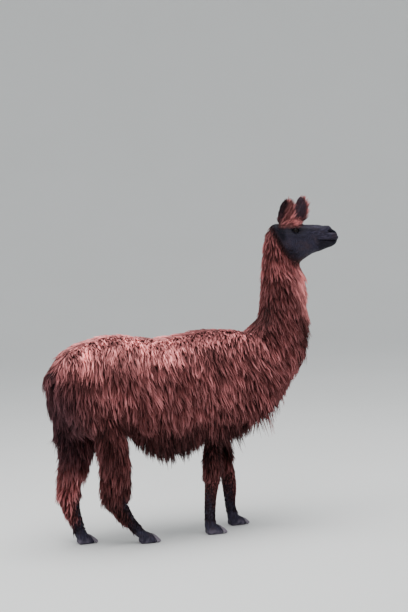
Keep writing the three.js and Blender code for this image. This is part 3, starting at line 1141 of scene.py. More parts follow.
# ---------------------------------------------------------------- node trees
@dataclass
class Wiring:
    """Short ways of adding nodes to one tree and joining them.

    Attributes:
        tree: Node tree that is being built.
    """

    tree: bpy.types.NodeTree

    def node(self, kind: str, options: dict[str, Any] | None = None, **sockets: Any) -> bpy.types.Node:
        """Adds a node.

        Args:
            kind: Blender's name for the node's type.
            options: Properties of the node.
            sockets: Values or outputs for its inputs, with _ for each space in their names.

        Returns:
            The node.
        """
        item = self.tree.nodes.new(kind)
        for name, value in (options or {}).items():
            setattr(item, name, value)
        for name, value in sockets.items():
            self.feed(pick(item.inputs, name.replace("_", " ")), value)
        return item

    def feed(self, socket: bpy.types.NodeSocket, value: Any) -> None:
        """Joins an output to a socket, or sets the socket to a plain value.

        Args:
            socket: Input of a node.
            value: A node, one of its outputs, or a plain value.
        """
        if isinstance(value, bpy.types.Node):
            value = next(s for s in value.outputs if s.enabled)
        if isinstance(value, bpy.types.NodeSocket):
            self.tree.links.new(value, socket)
        else:
            socket.default_value = value

    def sum_node(self, kind: str, operation: str, values: tuple[Any, ...]) -> bpy.types.Node:
        """Adds a node that works on numbers or vectors, and feeds its inputs in order.

        Args:
            kind: Blender's name for the node's type.
            operation: What it works out.
            values: Values or outputs for its inputs.

        Returns:
            The node.
        """
        item = self.node(kind, {"operation": operation})
        for socket, value in zip(item.inputs, values):
            self.feed(socket, value)
        return item

    def maths(self, operation: str, *values: Any) -> bpy.types.NodeSocket:
        """Adds a sum on numbers and returns its result."""
        return self.sum_node("ShaderNodeMath", operation, values).outputs[0]

    def vector(self, operation: str, *values: Any, scale: Any = None) -> bpy.types.NodeSocket:
        """Adds a sum on vectors and returns its result.

        Args:
            operation: What it works out.
            values: Values or outputs for its inputs.
            scale: Number that the vector is multiplied by.

        Returns:
            The result.
        """
        item = self.sum_node("ShaderNodeVectorMath", operation, values)
        if scale is not None:
            self.feed(item.inputs["Scale"], scale)
        return item.outputs["Value" if operation == "DOT_PRODUCT" else "Vector"]

    def between(self, factor: Any, low: Any, high: Any) -> bpy.types.NodeSocket:
        """Number that is low where factor is 0 and high where it is 1."""
        return self.node("ShaderNodeMix", Factor=factor, A=low, B=high).outputs["Result"]

    def add(self, *vectors: Any) -> bpy.types.NodeSocket:
        """Sum of several vectors.

        Args:
            vectors: The vectors.

        Returns:
            Their sum.
        """
        total = vectors[0]
        for other in vectors[1:]:
            total = self.vector("ADD", total, other)
        return total


def pick(sockets: Any, name: str) -> bpy.types.NodeSocket:
    """The visible socket of that name."""
    return next(s for s in sockets if s.name == name and s.enabled)


def add_sockets(tree: bpy.types.NodeTree, way: str, sockets: tuple[tuple[str, str], ...]) -> None:
    """Gives a node group its named inputs or outputs.

    Args:
        tree: The node group.
        way: INPUT or OUTPUT.
        sockets: Name and kind of each socket.
    """
    for name, kind in sockets:
        tree.interface.new_socket(name=name, in_out=way, socket_type=kind)


@dataclass
class LockTree:
    """Geometry Nodes that grow the locks of one region out of the skin.

    Every lock is a tapered tube along a curve. It starts in the skin, follows the lie, gathers
    with its neighbours into a pointed clump, and keeps between the skin and the coat's surface.

    Attributes:
        cell: Shape of the clumps, which are taller than they are wide.
        sway: Scale of the slow swirls and how far they turn the lie.
        shake: Scale of the noise that sets single locks apart.
        bends: Phase that a wave runs through along a lock.
        spread: Least and most length of single locks, as shares.
        clumps: Least and most length of whole clumps, as shares.
        early: How many times faster than its length a lock joins its clump.
        rare: Clumps whose chance is above this one hang on below the hem.
        extra: How much longer those are, as a share of the length.
        crest: Least and most height of a clump, as shares of the coat's depth.
        arch: Power by which a lock rises to that height.
        sunk: Least height over the skin at the root and at the tip, in metres.
        fuzz: Least and most height of single locks, as shares of the coat's depth.
        fill: Share of that height which is allowed at the root and at the tip.
        flare: Most that a lock may stand clear where it hangs freely, in metres.
        facets: Sides of each lock.
        stout: Least and most width of single locks, as shares.
        taper: Power of the taper, and the least width of the tip as a share of the root's.
        patch: Size of the patch of the bake's map that each lock has.
    """

    cell: tuple[float, float, float] = (1.0, 1.0, 0.45)
    sway: tuple[float, float] = (9.0, 0.75)
    shake: float = 260.0
    bends: float = 5.5
    spread: tuple[float, float] = (0.70, 1.05)
    clumps: tuple[float, float] = (0.72, 1.05)
    early: float = 2.2
    rare: float = 0.80
    extra: float = 0.85
    crest: tuple[float, float] = (0.55, 1.0)
    arch: float = 0.6
    sunk: tuple[float, float] = (-0.002, 0.004)
    fuzz: tuple[float, float] = (0.85, 1.30)
    fill: tuple[float, float] = (0.35, 1.0)
    flare: float = 0.25
    facets: int = 3
    stout: tuple[float, float] = (0.65, 1.35)
    taper: tuple[float, float] = (1.7, 0.08)
    patch: float = 0.003
    tree: bpy.types.NodeTree = field(init=False)
    wires: Wiring = field(init=False)

    SCAFFOLD = (
        "root", "up", "lie", "centre", "long", "strand", "depth", "wide", "thick", "face_shade", "grain",
        "RootMap",
    )
    INPUTS = (
        ("Skin", "NodeSocketGeometry"),
        ("Region", "NodeSocketInt"),
        ("Density", "NodeSocketFloat"),
        ("Points", "NodeSocketInt"),
        ("Clump", "NodeSocketFloat"),
        ("Gather", "NodeSocketFloat"),
        ("Wave", "NodeSocketFloat"),
        ("Stray", "NodeSocketFloat"),
        ("Seed", "NodeSocketInt"),
        ("Finish", "NodeSocketMaterial"),
    )

    def build(self) -> bpy.types.NodeTree:
        """Makes the tree.

        Returns:
            The node group, ready for a modifier.
        """
        self.tree = bpy.data.node_groups.new("grow_locks", "GeometryNodeTree")
        self.wires = Wiring(self.tree)
        add_sockets(self.tree, "INPUT", self.INPUTS)
        add_sockets(self.tree, "OUTPUT", (("Coat", "NodeSocketGeometry"),))
        given = self.tree.nodes.new("NodeGroupInput").outputs
        roots = self.scatter(given)
        strands = self.strands(given, roots)
        shaped = self.lay(given, strands)
        kept = self.keep_close(given, shaped)
        mesh = self.thicken(kept)
        solid = self.wires.node("GeometryNodeRealizeInstances", Geometry=mesh)
        dressed = self.wires.node("GeometryNodeSetMaterial", Geometry=solid, Material=given["Finish"])
        self.wires.node("NodeGroupOutput", Coat=dressed)
        return self.tree

    def read(self, name: str, kind: str = "FLOAT") -> bpy.types.NodeSocket:
        """Value of a named attribute."""
        item = self.wires.node("GeometryNodeInputNamedAttribute", {"data_type": kind}, Name=name)
        return pick(item.outputs, "Attribute")

    def keep(self, geometry: Any, name: str, value: Any, kind: str = "FLOAT") -> bpy.types.Node:
        """Stores a value on the geometry's points under a name.

        Args:
            geometry: What it is stored on.
            name: Name of the attribute.
            value: The value.
            kind: Blender's name for its type.

        Returns:
            Node that puts out the geometry.
        """
        options = {"data_type": kind}
        store = "GeometryNodeStoreNamedAttribute"
        return self.wires.node(store, options, Geometry=geometry, Name=name, Value=value)

    def scatter(self, given: Any) -> bpy.types.Node:
        """Scatters the roots, each knowing its place, its clump and its own chance.

        Args:
            given: Inputs of the tree.

        Returns:
            Node that puts out the points.
        """
        w = self.wires
        here = w.node(
            "FunctionNodeCompare",
            {"data_type": "INT", "operation": "EQUAL"},
            A=self.read("region", "INT"),
            B=given["Region"],
        )
        dense = w.maths("MULTIPLY", given["Density"], self.read("thick"))
        spread = w.node(
            "GeometryNodeDistributePointsOnFaces",
            Mesh=given["Skin"],
            Selection=here,
            Density=dense,
            Seed=given["Seed"],
        )
        place = w.node("GeometryNodeInputPosition")
        points = self.keep(spread.outputs["Points"], "root", place, "FLOAT_VECTOR")
        points = self.keep(points, "up", spread.outputs["Normal"], "FLOAT_VECTOR")
        cell = w.vector("MULTIPLY", place, self.cell)
        scale = w.maths("DIVIDE", 1.0, given["Clump"])
        cells = w.node("ShaderNodeTexVoronoi", Vector=cell, Scale=scale, Randomness=1.0)
        centre = w.vector("DIVIDE", cells.outputs["Position"], self.cell)
        centre = w.vector("SUBTRACT", centre, place)
        points = self.keep(points, "centre", centre, "FLOAT_VECTOR")
        tone = w.node("FunctionNodeSeparateColor", Color=cells.outputs["Color"])
        points = self.keep(points, "tone", tone.outputs["Red"])
        points = self.keep(points, "turn", tone.outputs["Green"])
        chance = w.node("FunctionNodeRandomValue", Seed=w.maths("ADD", given["Seed"], 7.0))
        return self.keep(points, "chance", pick(chance.outputs, "Value"))

    def strands(self, given: Any, roots: Any) -> bpy.types.Node:
        """Puts one straight strand of the wanted number of points at every root.

        Args:
            given: Inputs of the tree.
            roots: The scattered points.

        Returns:
            Node that puts out the strands.
        """
        w = self.wires
        line = w.node("GeometryNodeCurvePrimitiveLine")
        line = w.node("GeometryNodeResampleCurve", Curve=line, Count=given["Points"])
        many = w.node("GeometryNodeInstanceOnPoints", Points=roots, Instance=line)
        many = w.node("GeometryNodeRealizeInstances", Geometry=many)
        step = w.node("GeometryNodeSplineParameter").outputs["Factor"]
        return self.keep(many, "along", step)

    def lay(self, given: Any, strands: Any) -> bpy.types.Node:
        """Lays the strands along the lie, gathered into clumps and waved.

        Args:
            given: Inputs of the tree.
            strands: The straight strands.

        Returns:
            Node that puts out the strands in their places.
        """
        w = self.wires
        t = self.read("along")
        root, up, lie = (self.read(n, "FLOAT_VECTOR") for n in ("root", "up", "lie"))
        chance, turn = self.read("chance"), self.read("turn")
        middle = (0.5, 0.5, 0.5)
        swirl = w.node("ShaderNodeTexNoise", Vector=root, Scale=self.sway[0], Detail=1.0)
        sway = w.vector("SUBTRACT", swirl.outputs["Color"], middle)
        fine = w.node("ShaderNodeTexNoise", Vector=root, Scale=self.shake, Detail=0.0)
        shake = w.vector("SUBTRACT", fine.outputs["Color"], middle)
        lean = w.add(lie, w.vector("SCALE", sway, scale=self.sway[1]))
        lean = w.add(lean, w.vector("SCALE", shake, scale=given["Stray"]))
        lean = w.vector("NORMALIZE", lean)
        reach = w.maths("MULTIPLY", self.read("long"), w.between(chance, *self.spread))
        reach = w.maths("MULTIPLY", reach, w.between(turn, *self.clumps))
        rare = w.maths("GREATER_THAN", turn, self.rare)
        extra = w.maths("MULTIPLY", w.maths("MULTIPLY", rare, self.read("strand")), self.extra)
        reach = w.maths("MULTIPLY", reach, w.maths("ADD", extra, 1.0))
        body = w.vector("SCALE", lean, scale=w.maths("MULTIPLY", reach, t))
        early = w.maths("MINIMUM", w.maths("MULTIPLY", t, self.early), 1.0)
        pull = w.maths("MULTIPLY", early, given["Gather"])
        centre = self.read("centre", "FLOAT_VECTOR")
        drop = w.vector("DOT_PRODUCT", centre, lean)
        aside = w.vector("SUBTRACT", centre, w.vector("SCALE", lean, scale=drop))
        rise = w.vector("DOT_PRODUCT", aside, up)
        aside = w.vector("SUBTRACT", aside, w.vector("SCALE", up, scale=rise))
        gathered = w.vector("SCALE", aside, scale=pull)
        side = w.vector("NORMALIZE", w.vector("CROSS_PRODUCT", lean, up))
        phase = w.maths("MULTIPLY_ADD", turn, 6.28, w.maths("MULTIPLY", t, self.bends))
        swing = w.maths("MULTIPLY", w.maths("SINE", phase), w.maths("MULTIPLY", given["Wave"], t))
        waved = w.vector("SCALE", side, scale=w.maths("MULTIPLY", swing, reach))
        crest = w.maths("MULTIPLY", self.read("depth"), w.between(self.read("tone"), *self.crest))
        arch = w.maths("MULTIPLY", crest, w.maths("POWER", t, self.arch))
        raised = w.vector("SCALE", up, scale=arch)
        place = w.add(root, body, gathered, waved, raised)
        return w.node("GeometryNodeSetPosition", Geometry=strands, Position=place)

    def keep_close(self, given: Any, strands: Any) -> bpy.types.Node:
        """Brings each point back between the skin and the coat's own surface.

        Args:
            given: Inputs of the tree.
            strands: The strands in their places.

        Returns:
            Node that puts out the strands.
        """
        w = self.wires
        t = self.read("along")
        here = w.node("GeometryNodeInputPosition")
        kind = {"data_type": "FLOAT_VECTOR"}
        near = w.node("GeometryNodeSampleNearestSurface", kind, Mesh=given["Skin"], Value=here)
        normal = w.node("GeometryNodeInputNormal")
        out = w.node("GeometryNodeSampleNearestSurface", kind, Mesh=given["Skin"], Value=normal)
        foot, away = pick(near.outputs, "Value"), w.vector("NORMALIZE", pick(out.outputs, "Value"))
        height = w.vector("DOT_PRODUCT", w.vector("SUBTRACT", here, foot), away)
        low = w.between(t, *self.sunk)
        fuzz = w.maths("POWER", self.read("chance"), 3.0)
        reach = w.maths("MULTIPLY", self.read("depth"), w.between(fuzz, *self.fuzz))
        high = w.maths("MAXIMUM", w.maths("MULTIPLY", reach, w.between(t, *self.fill)), 0.0015)
        free = w.maths("MULTIPLY", self.read("hang"), self.flare)
        high = w.maths("ADD", high, free)
        wanted = w.maths("MINIMUM", w.maths("MAXIMUM", height, low), high)
        shift = w.vector("SCALE", away, scale=w.maths("SUBTRACT", wanted, height))
        return w.node("GeometryNodeSetPosition", Geometry=strands, Offset=shift)

    def thicken(self, strands: Any) -> bpy.types.Node:
        """Turns the strands into tapered tubes, each with its own patch of the bake's map.

        Args:
            strands: The strands.

        Returns:
            Node that puts out the locks.
        """
        w = self.wires
        t = self.read("along")
        taper = w.maths("SUBTRACT", 1.0, w.maths("POWER", t, self.taper[0]))
        taper = w.maths("MAXIMUM", taper, self.taper[1])
        size = w.maths("MULTIPLY", self.read("wide"), w.between(self.read("chance"), *self.stout))
        ring = w.node("GeometryNodeCurvePrimitiveCircle", Resolution=self.facets, Radius=1.0)
        turn = w.node("GeometryNodeSplineParameter").outputs["Factor"]
        ring = self.keep(ring, "around", turn)
        tube = w.node(
            "GeometryNodeCurveToMesh",
            Curve=strands,
            Profile_Curve=ring,
            Scale=w.maths("MULTIPLY", taper, size),
            Fill_Caps=True,
        )
        smooth = w.node("GeometryNodeSetShadeSmooth", Geometry=tube, Shade_Smooth=True)
        around = self.read("around")
        bend = w.maths("MULTIPLY", w.maths("SINE", w.maths("MULTIPLY", around, 6.2832)), 0.15)
        patch = w.node("ShaderNodeCombineXYZ", X=around, Y=w.maths("ADD", t, bend))
        patch = w.vector("SCALE", w.vector("SUBTRACT", patch, (0.33, 0.5, 0.0)), scale=self.patch)
        spot = w.add(self.read("RootMap", "FLOAT_VECTOR"), patch)
        return w.node(
            "GeometryNodeStoreNamedAttribute",
            {"data_type": "FLOAT2", "domain": "CORNER"},
            Geometry=smooth,
            Name="OFBake",
            Value=spot,
        )


FIRST_SEED = 11


@dataclass(frozen=True)
class Fleece:
    """How one region's locks are grown.

    Attributes:
        region: Part of the coat.
        density: Most locks for each square metre of skin.
        points: Points along each lock.
        clump: Width of the clumps in metres.
        gather: How far a lock's tip is drawn to the middle of its clump.
        wave: Sideways wave as a share of the length.
        stray: How far single locks leave the lie.
    """

    region: Region
    density: float = 30000.0
    points: int = 5
    clump: float = 0.014
    gather: float = 0.85
    wave: float = 0.06
    stray: float = 0.35


FLEECES = (
    Fleece(Region.NECK_RIGHT, density=46000.0, clump=0.011),
    Fleece(Region.NECK_LEFT, density=46000.0, clump=0.011),
    Fleece(Region.SHOULDER_RIGHT, density=30000.0),
    Fleece(Region.SHOULDER_LEFT, density=30000.0),
    Fleece(Region.FLANK_RIGHT, density=41500.0),
    Fleece(Region.FLANK_LEFT, density=41500.0),
    Fleece(Region.RUMP_RIGHT, density=41000.0),
    Fleece(Region.RUMP_LEFT, density=41000.0),
    Fleece(Region.BACK, density=17200.0, clump=0.017, gather=0.6, stray=0.45),
    Fleece(Region.BELLY, density=18500.0),
    Fleece(Region.LEG_HIND_RIGHT, density=32000.0, stray=0.5),
    Fleece(Region.LEG_HIND_LEFT, density=32000.0, stray=0.5),
    Fleece(Region.LEGS_FRONT, density=40000.0, clump=0.011, stray=0.5),
    Fleece(Region.TAIL, density=30000.0),
    Fleece(Region.HEAD, density=44000.0, clump=0.009, gather=0.6, wave=0.05, stray=0.4),
    Fleece(Region.SHINS, density=36000.0, points=4, clump=0.007, gather=0.5, stray=0.2),
)


@dataclass
class Coat:
    """All the locks of fleece, as one piece for each region.

    Attributes:
        skin: The skin that they grow from.
        finish: Material of the locks.
    """

    skin: bpy.types.Object
    finish: bpy.types.Material

    def grow(self) -> None:
        """Grows every region."""
        tree = LockTree().build()
        for fleece in FLEECES:
            self.region(tree, fleece)

    def region(self, tree: bpy.types.NodeTree, fleece: Fleece) -> None:
        """Grows one region's locks as a plain mesh.

        Args:
            tree: Node group that grows locks.
            fleece: Numbers of this region.
        """
        grower = add_object(fleece.region.value, self.skin.data.copy())
        modifier = grower.modifiers.new("locks", "NODES")
        modifier.node_group = tree
        values = {name.capitalize(): value for name, value in vars(fleece).items()}
        values["Region"] = fleece.region.number
        values["Seed"] = FIRST_SEED + fleece.region.number
        values["Finish"] = self.finish
        for socket in tree.interface.items_tree:
            if socket.in_out == "INPUT" and socket.name in values:
                modifier[socket.identifier] = values[socket.name]
        settle(grower, modifier)
        kept = grower.data.attributes
        for name in LockTree.SCAFFOLD:
            if name in kept:
                kept.remove(kept[name])
        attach(grower, BODY)
        LOG.info("%s: %d faces", grower.name, len(grower.data.polygons))


# ---------------------------------------------------------------- the nails
class Nails:
    """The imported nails, which keep their own shape."""

    def dress(self, finish: bpy.types.Material) -> None:
        """Gives every nail its horn.

        Args:
            finish: Material of the nails.
        """
        for name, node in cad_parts.items():
            if name.startswith("nail"):
                node.data.materials[0] = finish
                LOG.info("%s: %d faces", name, len(node.data.polygons))


# ---------------------------------------------------------------- finishes
Colour = tuple[float, float, float, float]
FULL_SHINE = 0.5
LOW_SHINE = 0.12


def new_material(name: str, shine: float) -> tuple[bpy.types.Material, Wiring, bpy.types.Node]:
    """Makes an empty node material with its shader.

    Args:
        name: Name of the material.
        shine: Level of the shader's plain reflection.

    Returns:
        The material, its wiring and its Principled shader.
    """
    material = bpy.data.materials.new(name)
    material.use_nodes = True
    material.node_tree.nodes.clear()
    wires = Wiring(material.node_tree)
    shader = wires.node("ShaderNodeBsdfPrincipled")
    shader.inputs["Specular IOR Level"].default_value = shine
    wires.node("ShaderNodeOutputMaterial", Surface=shader)
    return material, wires, shader


def attribute(wires: Wiring, name: str) -> bpy.types.NodeSocket:
    """Number that the mesh carries under a name."""
    item = wires.node("ShaderNodeAttribute", {"attribute_name": name})
    return item.outputs["Fac"]


def blend(wires: Wiring, factor: Any, low: Any, high: Any, kind: str = "MIX") -> bpy.types.NodeSocket:
    """Adds a mix of two colours.

    Args:
        wires: Tree that it is added to.
        factor: Share of the second colour.
        low: First colour.
        high: Second colour.
        kind: Blender's name for the way they are mixed.

    Returns:
        The mixed colour.
    """
    options = {"data_type": "RGBA", "blend_type": kind}
    item = wires.node("ShaderNodeMix", options, Factor=factor, A=low, B=high)
    return pick(item.outputs, "Result")


def rising(wires: Wiring, value: Any, low: float, high: float) -> bpy.types.NodeSocket:
    """Smooth rise from 0 at low to 1 at high.

    Args:
        wires: Tree that it is added to.
        value: What is measured.
        low: Value where the rise starts.
        high: Value where it ends.

    Returns:
        The rise.
    """
    options = {"interpolation_type": "SMOOTHSTEP"}
    item = wires.node("ShaderNodeMapRange", options, Value=value, From_Min=low, From_Max=high)
    return item.outputs["Result"]


class StreakEffect:
    """Fine streaks and their bump, a node group that the hide and the horn share."""

    INPUTS = (
        ("Place", "NodeSocketVector"),
        ("Scale", "NodeSocketFloat"),
        ("Roughness", "NodeSocketFloat"),
        ("Strength", "NodeSocketFloat"),
        ("Distance", "NodeSocketFloat"),
    )
    OUTPUTS = (("Amount", "NodeSocketFloat"), ("Normal", "NodeSocketVector"))

    def build(self) -> bpy.types.NodeTree:
        """Makes the node group.

        Returns:
            The group, which puts out an amount from 0 to 1 and a normal.
        """
        tree = bpy.data.node_groups.new("streaks", "ShaderNodeTree")
        add_sockets(tree, "INPUT", self.INPUTS)
        add_sockets(tree, "OUTPUT", self.OUTPUTS)
        w = Wiring(tree)
        place, scale, roughness, strength, distance = list(tree.nodes.new("NodeGroupInput").outputs)[:5]
        lines = w.node("ShaderNodeTexNoise", Vector=place, Scale=scale, Detail=3.0, Roughness=roughness)
        amount = lines.outputs["Fac"]
        bump = w.node("ShaderNodeBump", Strength=strength, Distance=distance, Height=amount)
        w.node("NodeGroupOutput", Amount=amount, Normal=bump)
        return tree


@dataclass(frozen=True)
class FleeceFinish:
    """Reddish brown locks: darkened towards the root by painted shade deep in the coat, pale at the tip,
    black on the face and shanks.

    Attributes:
        root: Painted shade deep in the coat, towards which each lock darkens at its root.
        body: Colour of most of a lock.
        tip: Colour of the weathered tips.
        bleached: Colour of the tips along the top of the back.
        black: Colour of the dark parts.
        black_tip: Colour of the tips there.
    """

    root: Colour = (0.011, 0.0030, 0.0030, 1.0)
    body: Colour = (0.146, 0.035, 0.035, 1.0)
    tip: Colour = (0.41, 0.158, 0.160, 1.0)
    bleached: Colour = (0.93, 0.340, 0.330, 1.0)
    black: Colour = (0.010, 0.006, 0.010, 1.0)
    black_tip: Colour = (0.060, 0.030, 0.040, 1.0)

    def build(self) -> bpy.types.Material:
        """Makes the material.

        Returns:
            The material.
        """
        material, w, shader = new_material("fleece", LOW_SHINE)
        names = ("along", "chance", "tone", "black", "sun")
        t, chance, tone, black, sun = (attribute(w, name) for name in names)
        middle = blend(w, w.maths("MULTIPLY", sun, 0.5), self.body, self.tip)
        # Painted shade: each lock darkens from its middle towards its root, deep in the coat, none where
        # the top is bleached.
        root = blend(w, sun, self.root, middle)
        deep = blend(w, rising(w, t, 0.15, 0.62), root, middle)
        tips = blend(w, sun, self.tip, self.bleached)
        luck = w.maths("MULTIPLY", w.maths("ADD", tone, chance), 0.5)
        worn = w.maths("MULTIPLY", rising(w, t, 0.35, 1.0), w.maths("POWER", luck, 1.6))
        faded = w.maths("MULTIPLY", sun, rising(w, t, 0.1, 0.5))
        faded = w.maths("MULTIPLY", faded, w.between(tone, 0.50, 1.0))
        worn = w.maths("MAXIMUM", worn, faded)
        brown = blend(w, worn, deep, tips)
        dark = blend(w, rising(w, t, 0.4, 1.0), self.black, self.black_tip)
        colour = blend(w, black, brown, dark)
        shade = w.maths("MULTIPLY", w.between(chance, 0.38, 1.52), w.between(tone, 0.60, 1.35))
        shade = w.maths("MAXIMUM", shade, w.maths("MULTIPLY", sun, 0.82))
        # The hide's light field: the wool's own darker brown, with painted shade on the lower and under
        # parts and painted light on the upward faces.
        shade = w.maths("MULTIPLY", shade, w.between(black, attribute(w, "light"), 1.0))
        tint = w.node("ShaderNodeCombineColor", Red=shade, Green=shade, Blue=shade)
        w.feed(shader.inputs["Base Color"], blend(w, 1.0, colour, tint, "MULTIPLY"))
        w.feed(shader.inputs["Roughness"], w.between(chance, 0.45, 0.62))
        return material


@dataclass(frozen=True)
class HideFinish:
    """Skin with short hair: near-black brown under the fleece as painted shade in the gaps between the
    locks, black with a blue sheen on the face.

    Attributes:
        under: Painted shade in the depth of the fleece, the skin's colour where it shows between the
            locks.
        deeper: Colour of its darker patches.
        matted: Colour of the felted wool along the top of the back.
        black: Colour of the face and the feet.
        sheen: Colour of the hairs that catch the light.
        brown: Colour of the worn hair on the face and the shanks.
        face_shade: Painted shade round the eyes and under the lip.
        dust: Colour of the dried mud on the toes.
    """

    under: Colour = (0.030, 0.008, 0.007, 1.0)
    deeper: Colour = (0.02, 0.007, 0.006, 1.0)
    matted: Colour = (0.46, 0.19, 0.18, 1.0)
    black: Colour = (0.0085, 0.0075, 0.0150, 1.0)
    sheen: Colour = (0.056, 0.049, 0.082, 1.0)
    brown: Colour = (0.050, 0.032, 0.040, 1.0)
    face_shade: Colour = (0.003, 0.003, 0.007, 1.0)
    dust: Colour = (0.13, 0.11, 0.15, 1.0)

    def build(self, streaks: bpy.types.NodeTree) -> bpy.types.Material:
        """Makes the material.

        Args:
            streaks: The shared streaks, here the short hairs.

        Returns:
            The material.
        """
        material, w, shader = new_material("hide", LOW_SHINE)
        place = w.node("ShaderNodeTexCoord").outputs["Object"]
        laid = w.node("ShaderNodeAttribute", {"attribute_name": "grain"}).outputs["Vector"]
        hairs = w.node(
            "ShaderNodeGroup",
            {"node_tree": streaks},
            Place=laid,
            Scale=520.0,
            Roughness=0.65,
            Strength=0.8,
            Distance=0.002,
        )
        patch = w.node("ShaderNodeTexNoise", Vector=place, Scale=28.0, Detail=2.0).outputs["Fac"]
        wisps = w.node("ShaderNodeTexNoise", Vector=laid, Scale=150.0, Detail=2.0, Roughness=0.6)
        glint = w.maths("MULTIPLY", rising(w, hairs.outputs["Amount"], 0.35, 0.70), 0.5)
        glint = w.maths("MULTIPLY_ADD", rising(w, wisps.outputs["Fac"], 0.42, 0.66), 0.5, glint)
        dark = blend(w, glint, self.black, self.sheen)
        worn = w.maths("MULTIPLY", rising(w, patch, 0.45, 0.75), 0.6)
        dark = blend(w, worn, dark, self.brown)
        # Painted shade round the eyes, in the nostrils, under the lip and at the jaw corner; darker at the
        # nape.
        dark = blend(w, attribute(w, "face_shade"), dark, self.face_shade)
        height = w.node("ShaderNodeSeparateXYZ", Vector=place).outputs["Z"]
        muddy = w.maths("SUBTRACT", 1.0, rising(w, height, 0.010, 0.040))
        muddy = w.maths("MULTIPLY", muddy, rising(w, patch, 0.35, 0.65))
        dark = blend(w, muddy, dark, self.dust)
        # Painted shade: the skin under the fleece is near-black brown, so the gaps between the locks look
        # shaded.
        warm = blend(w, rising(w, patch, 0.35, 0.7), self.under, self.deeper)
        warm = blend(w, attribute(w, "sun"), warm, self.matted)
        w.feed(shader.inputs["Base Color"], blend(w, attribute(w, "black"), warm, dark))
        w.feed(shader.inputs["Roughness"], w.between(hairs.outputs["Amount"], 0.42, 0.66))
        w.feed(shader.inputs["Normal"], hairs.outputs["Normal"])
        return material


@dataclass(frozen=True)
class EyeFinish:
    """Dark wet eye with a level pupil.

    Attributes:
        iris: Colour of the iris.
        pupil: Colour of the pupil.
    """

    iris: Colour = (0.006, 0.0035, 0.003, 1.0)
    pupil: Colour = (0.003, 0.003, 0.004, 1.0)

    def build(self) -> bpy.types.Material:
        """Makes the material.

        Returns:
            The material.
        """
        material, w, shader = new_material("wet_eye", LOW_SHINE)
        ring = blend(w, rising(w, attribute(w, "from_axis"), 0.66, 0.78), self.iris, self.pupil)
        colour = blend(w, attribute(w, "pupil"), ring, self.pupil)
        w.feed(shader.inputs["Base Color"], colour)
        shader.inputs["Roughness"].default_value = 0.08
        return material


@dataclass(frozen=True)
class HornFinish:
    """Worn horn of the nails, streaked along their length.

    Attributes:
        base: Colour near the quick.
        edge: Colour at the worn edge.
    """

    base: Colour = (0.10, 0.08, 0.11, 1.0)
    edge: Colour = (0.26, 0.22, 0.27, 1.0)

    def build(self, streaks: bpy.types.NodeTree) -> bpy.types.Material:
        """Makes the material.

        Args:
            streaks: The shared streaks, here the lines along the nail.

        Returns:
            The material.
        """
        material, w, shader = new_material("horn", FULL_SHINE)
        place = w.node("ShaderNodeTexCoord").outputs["Object"]
        long = w.vector("MULTIPLY", place, (1.0, 6.0, 3.0))
        worn = w.node(
            "ShaderNodeGroup",
            {"node_tree": streaks},
            Place=long,
            Scale=120.0,
            Roughness=0.5,
            Strength=0.4,
            Distance=0.001,
        )
        w.feed(shader.inputs["Base Color"], blend(w, worn.outputs["Amount"], self.base, self.edge))
        w.feed(shader.inputs["Normal"], worn.outputs["Normal"])
        shader.inputs["Roughness"].default_value = 0.5
        return material


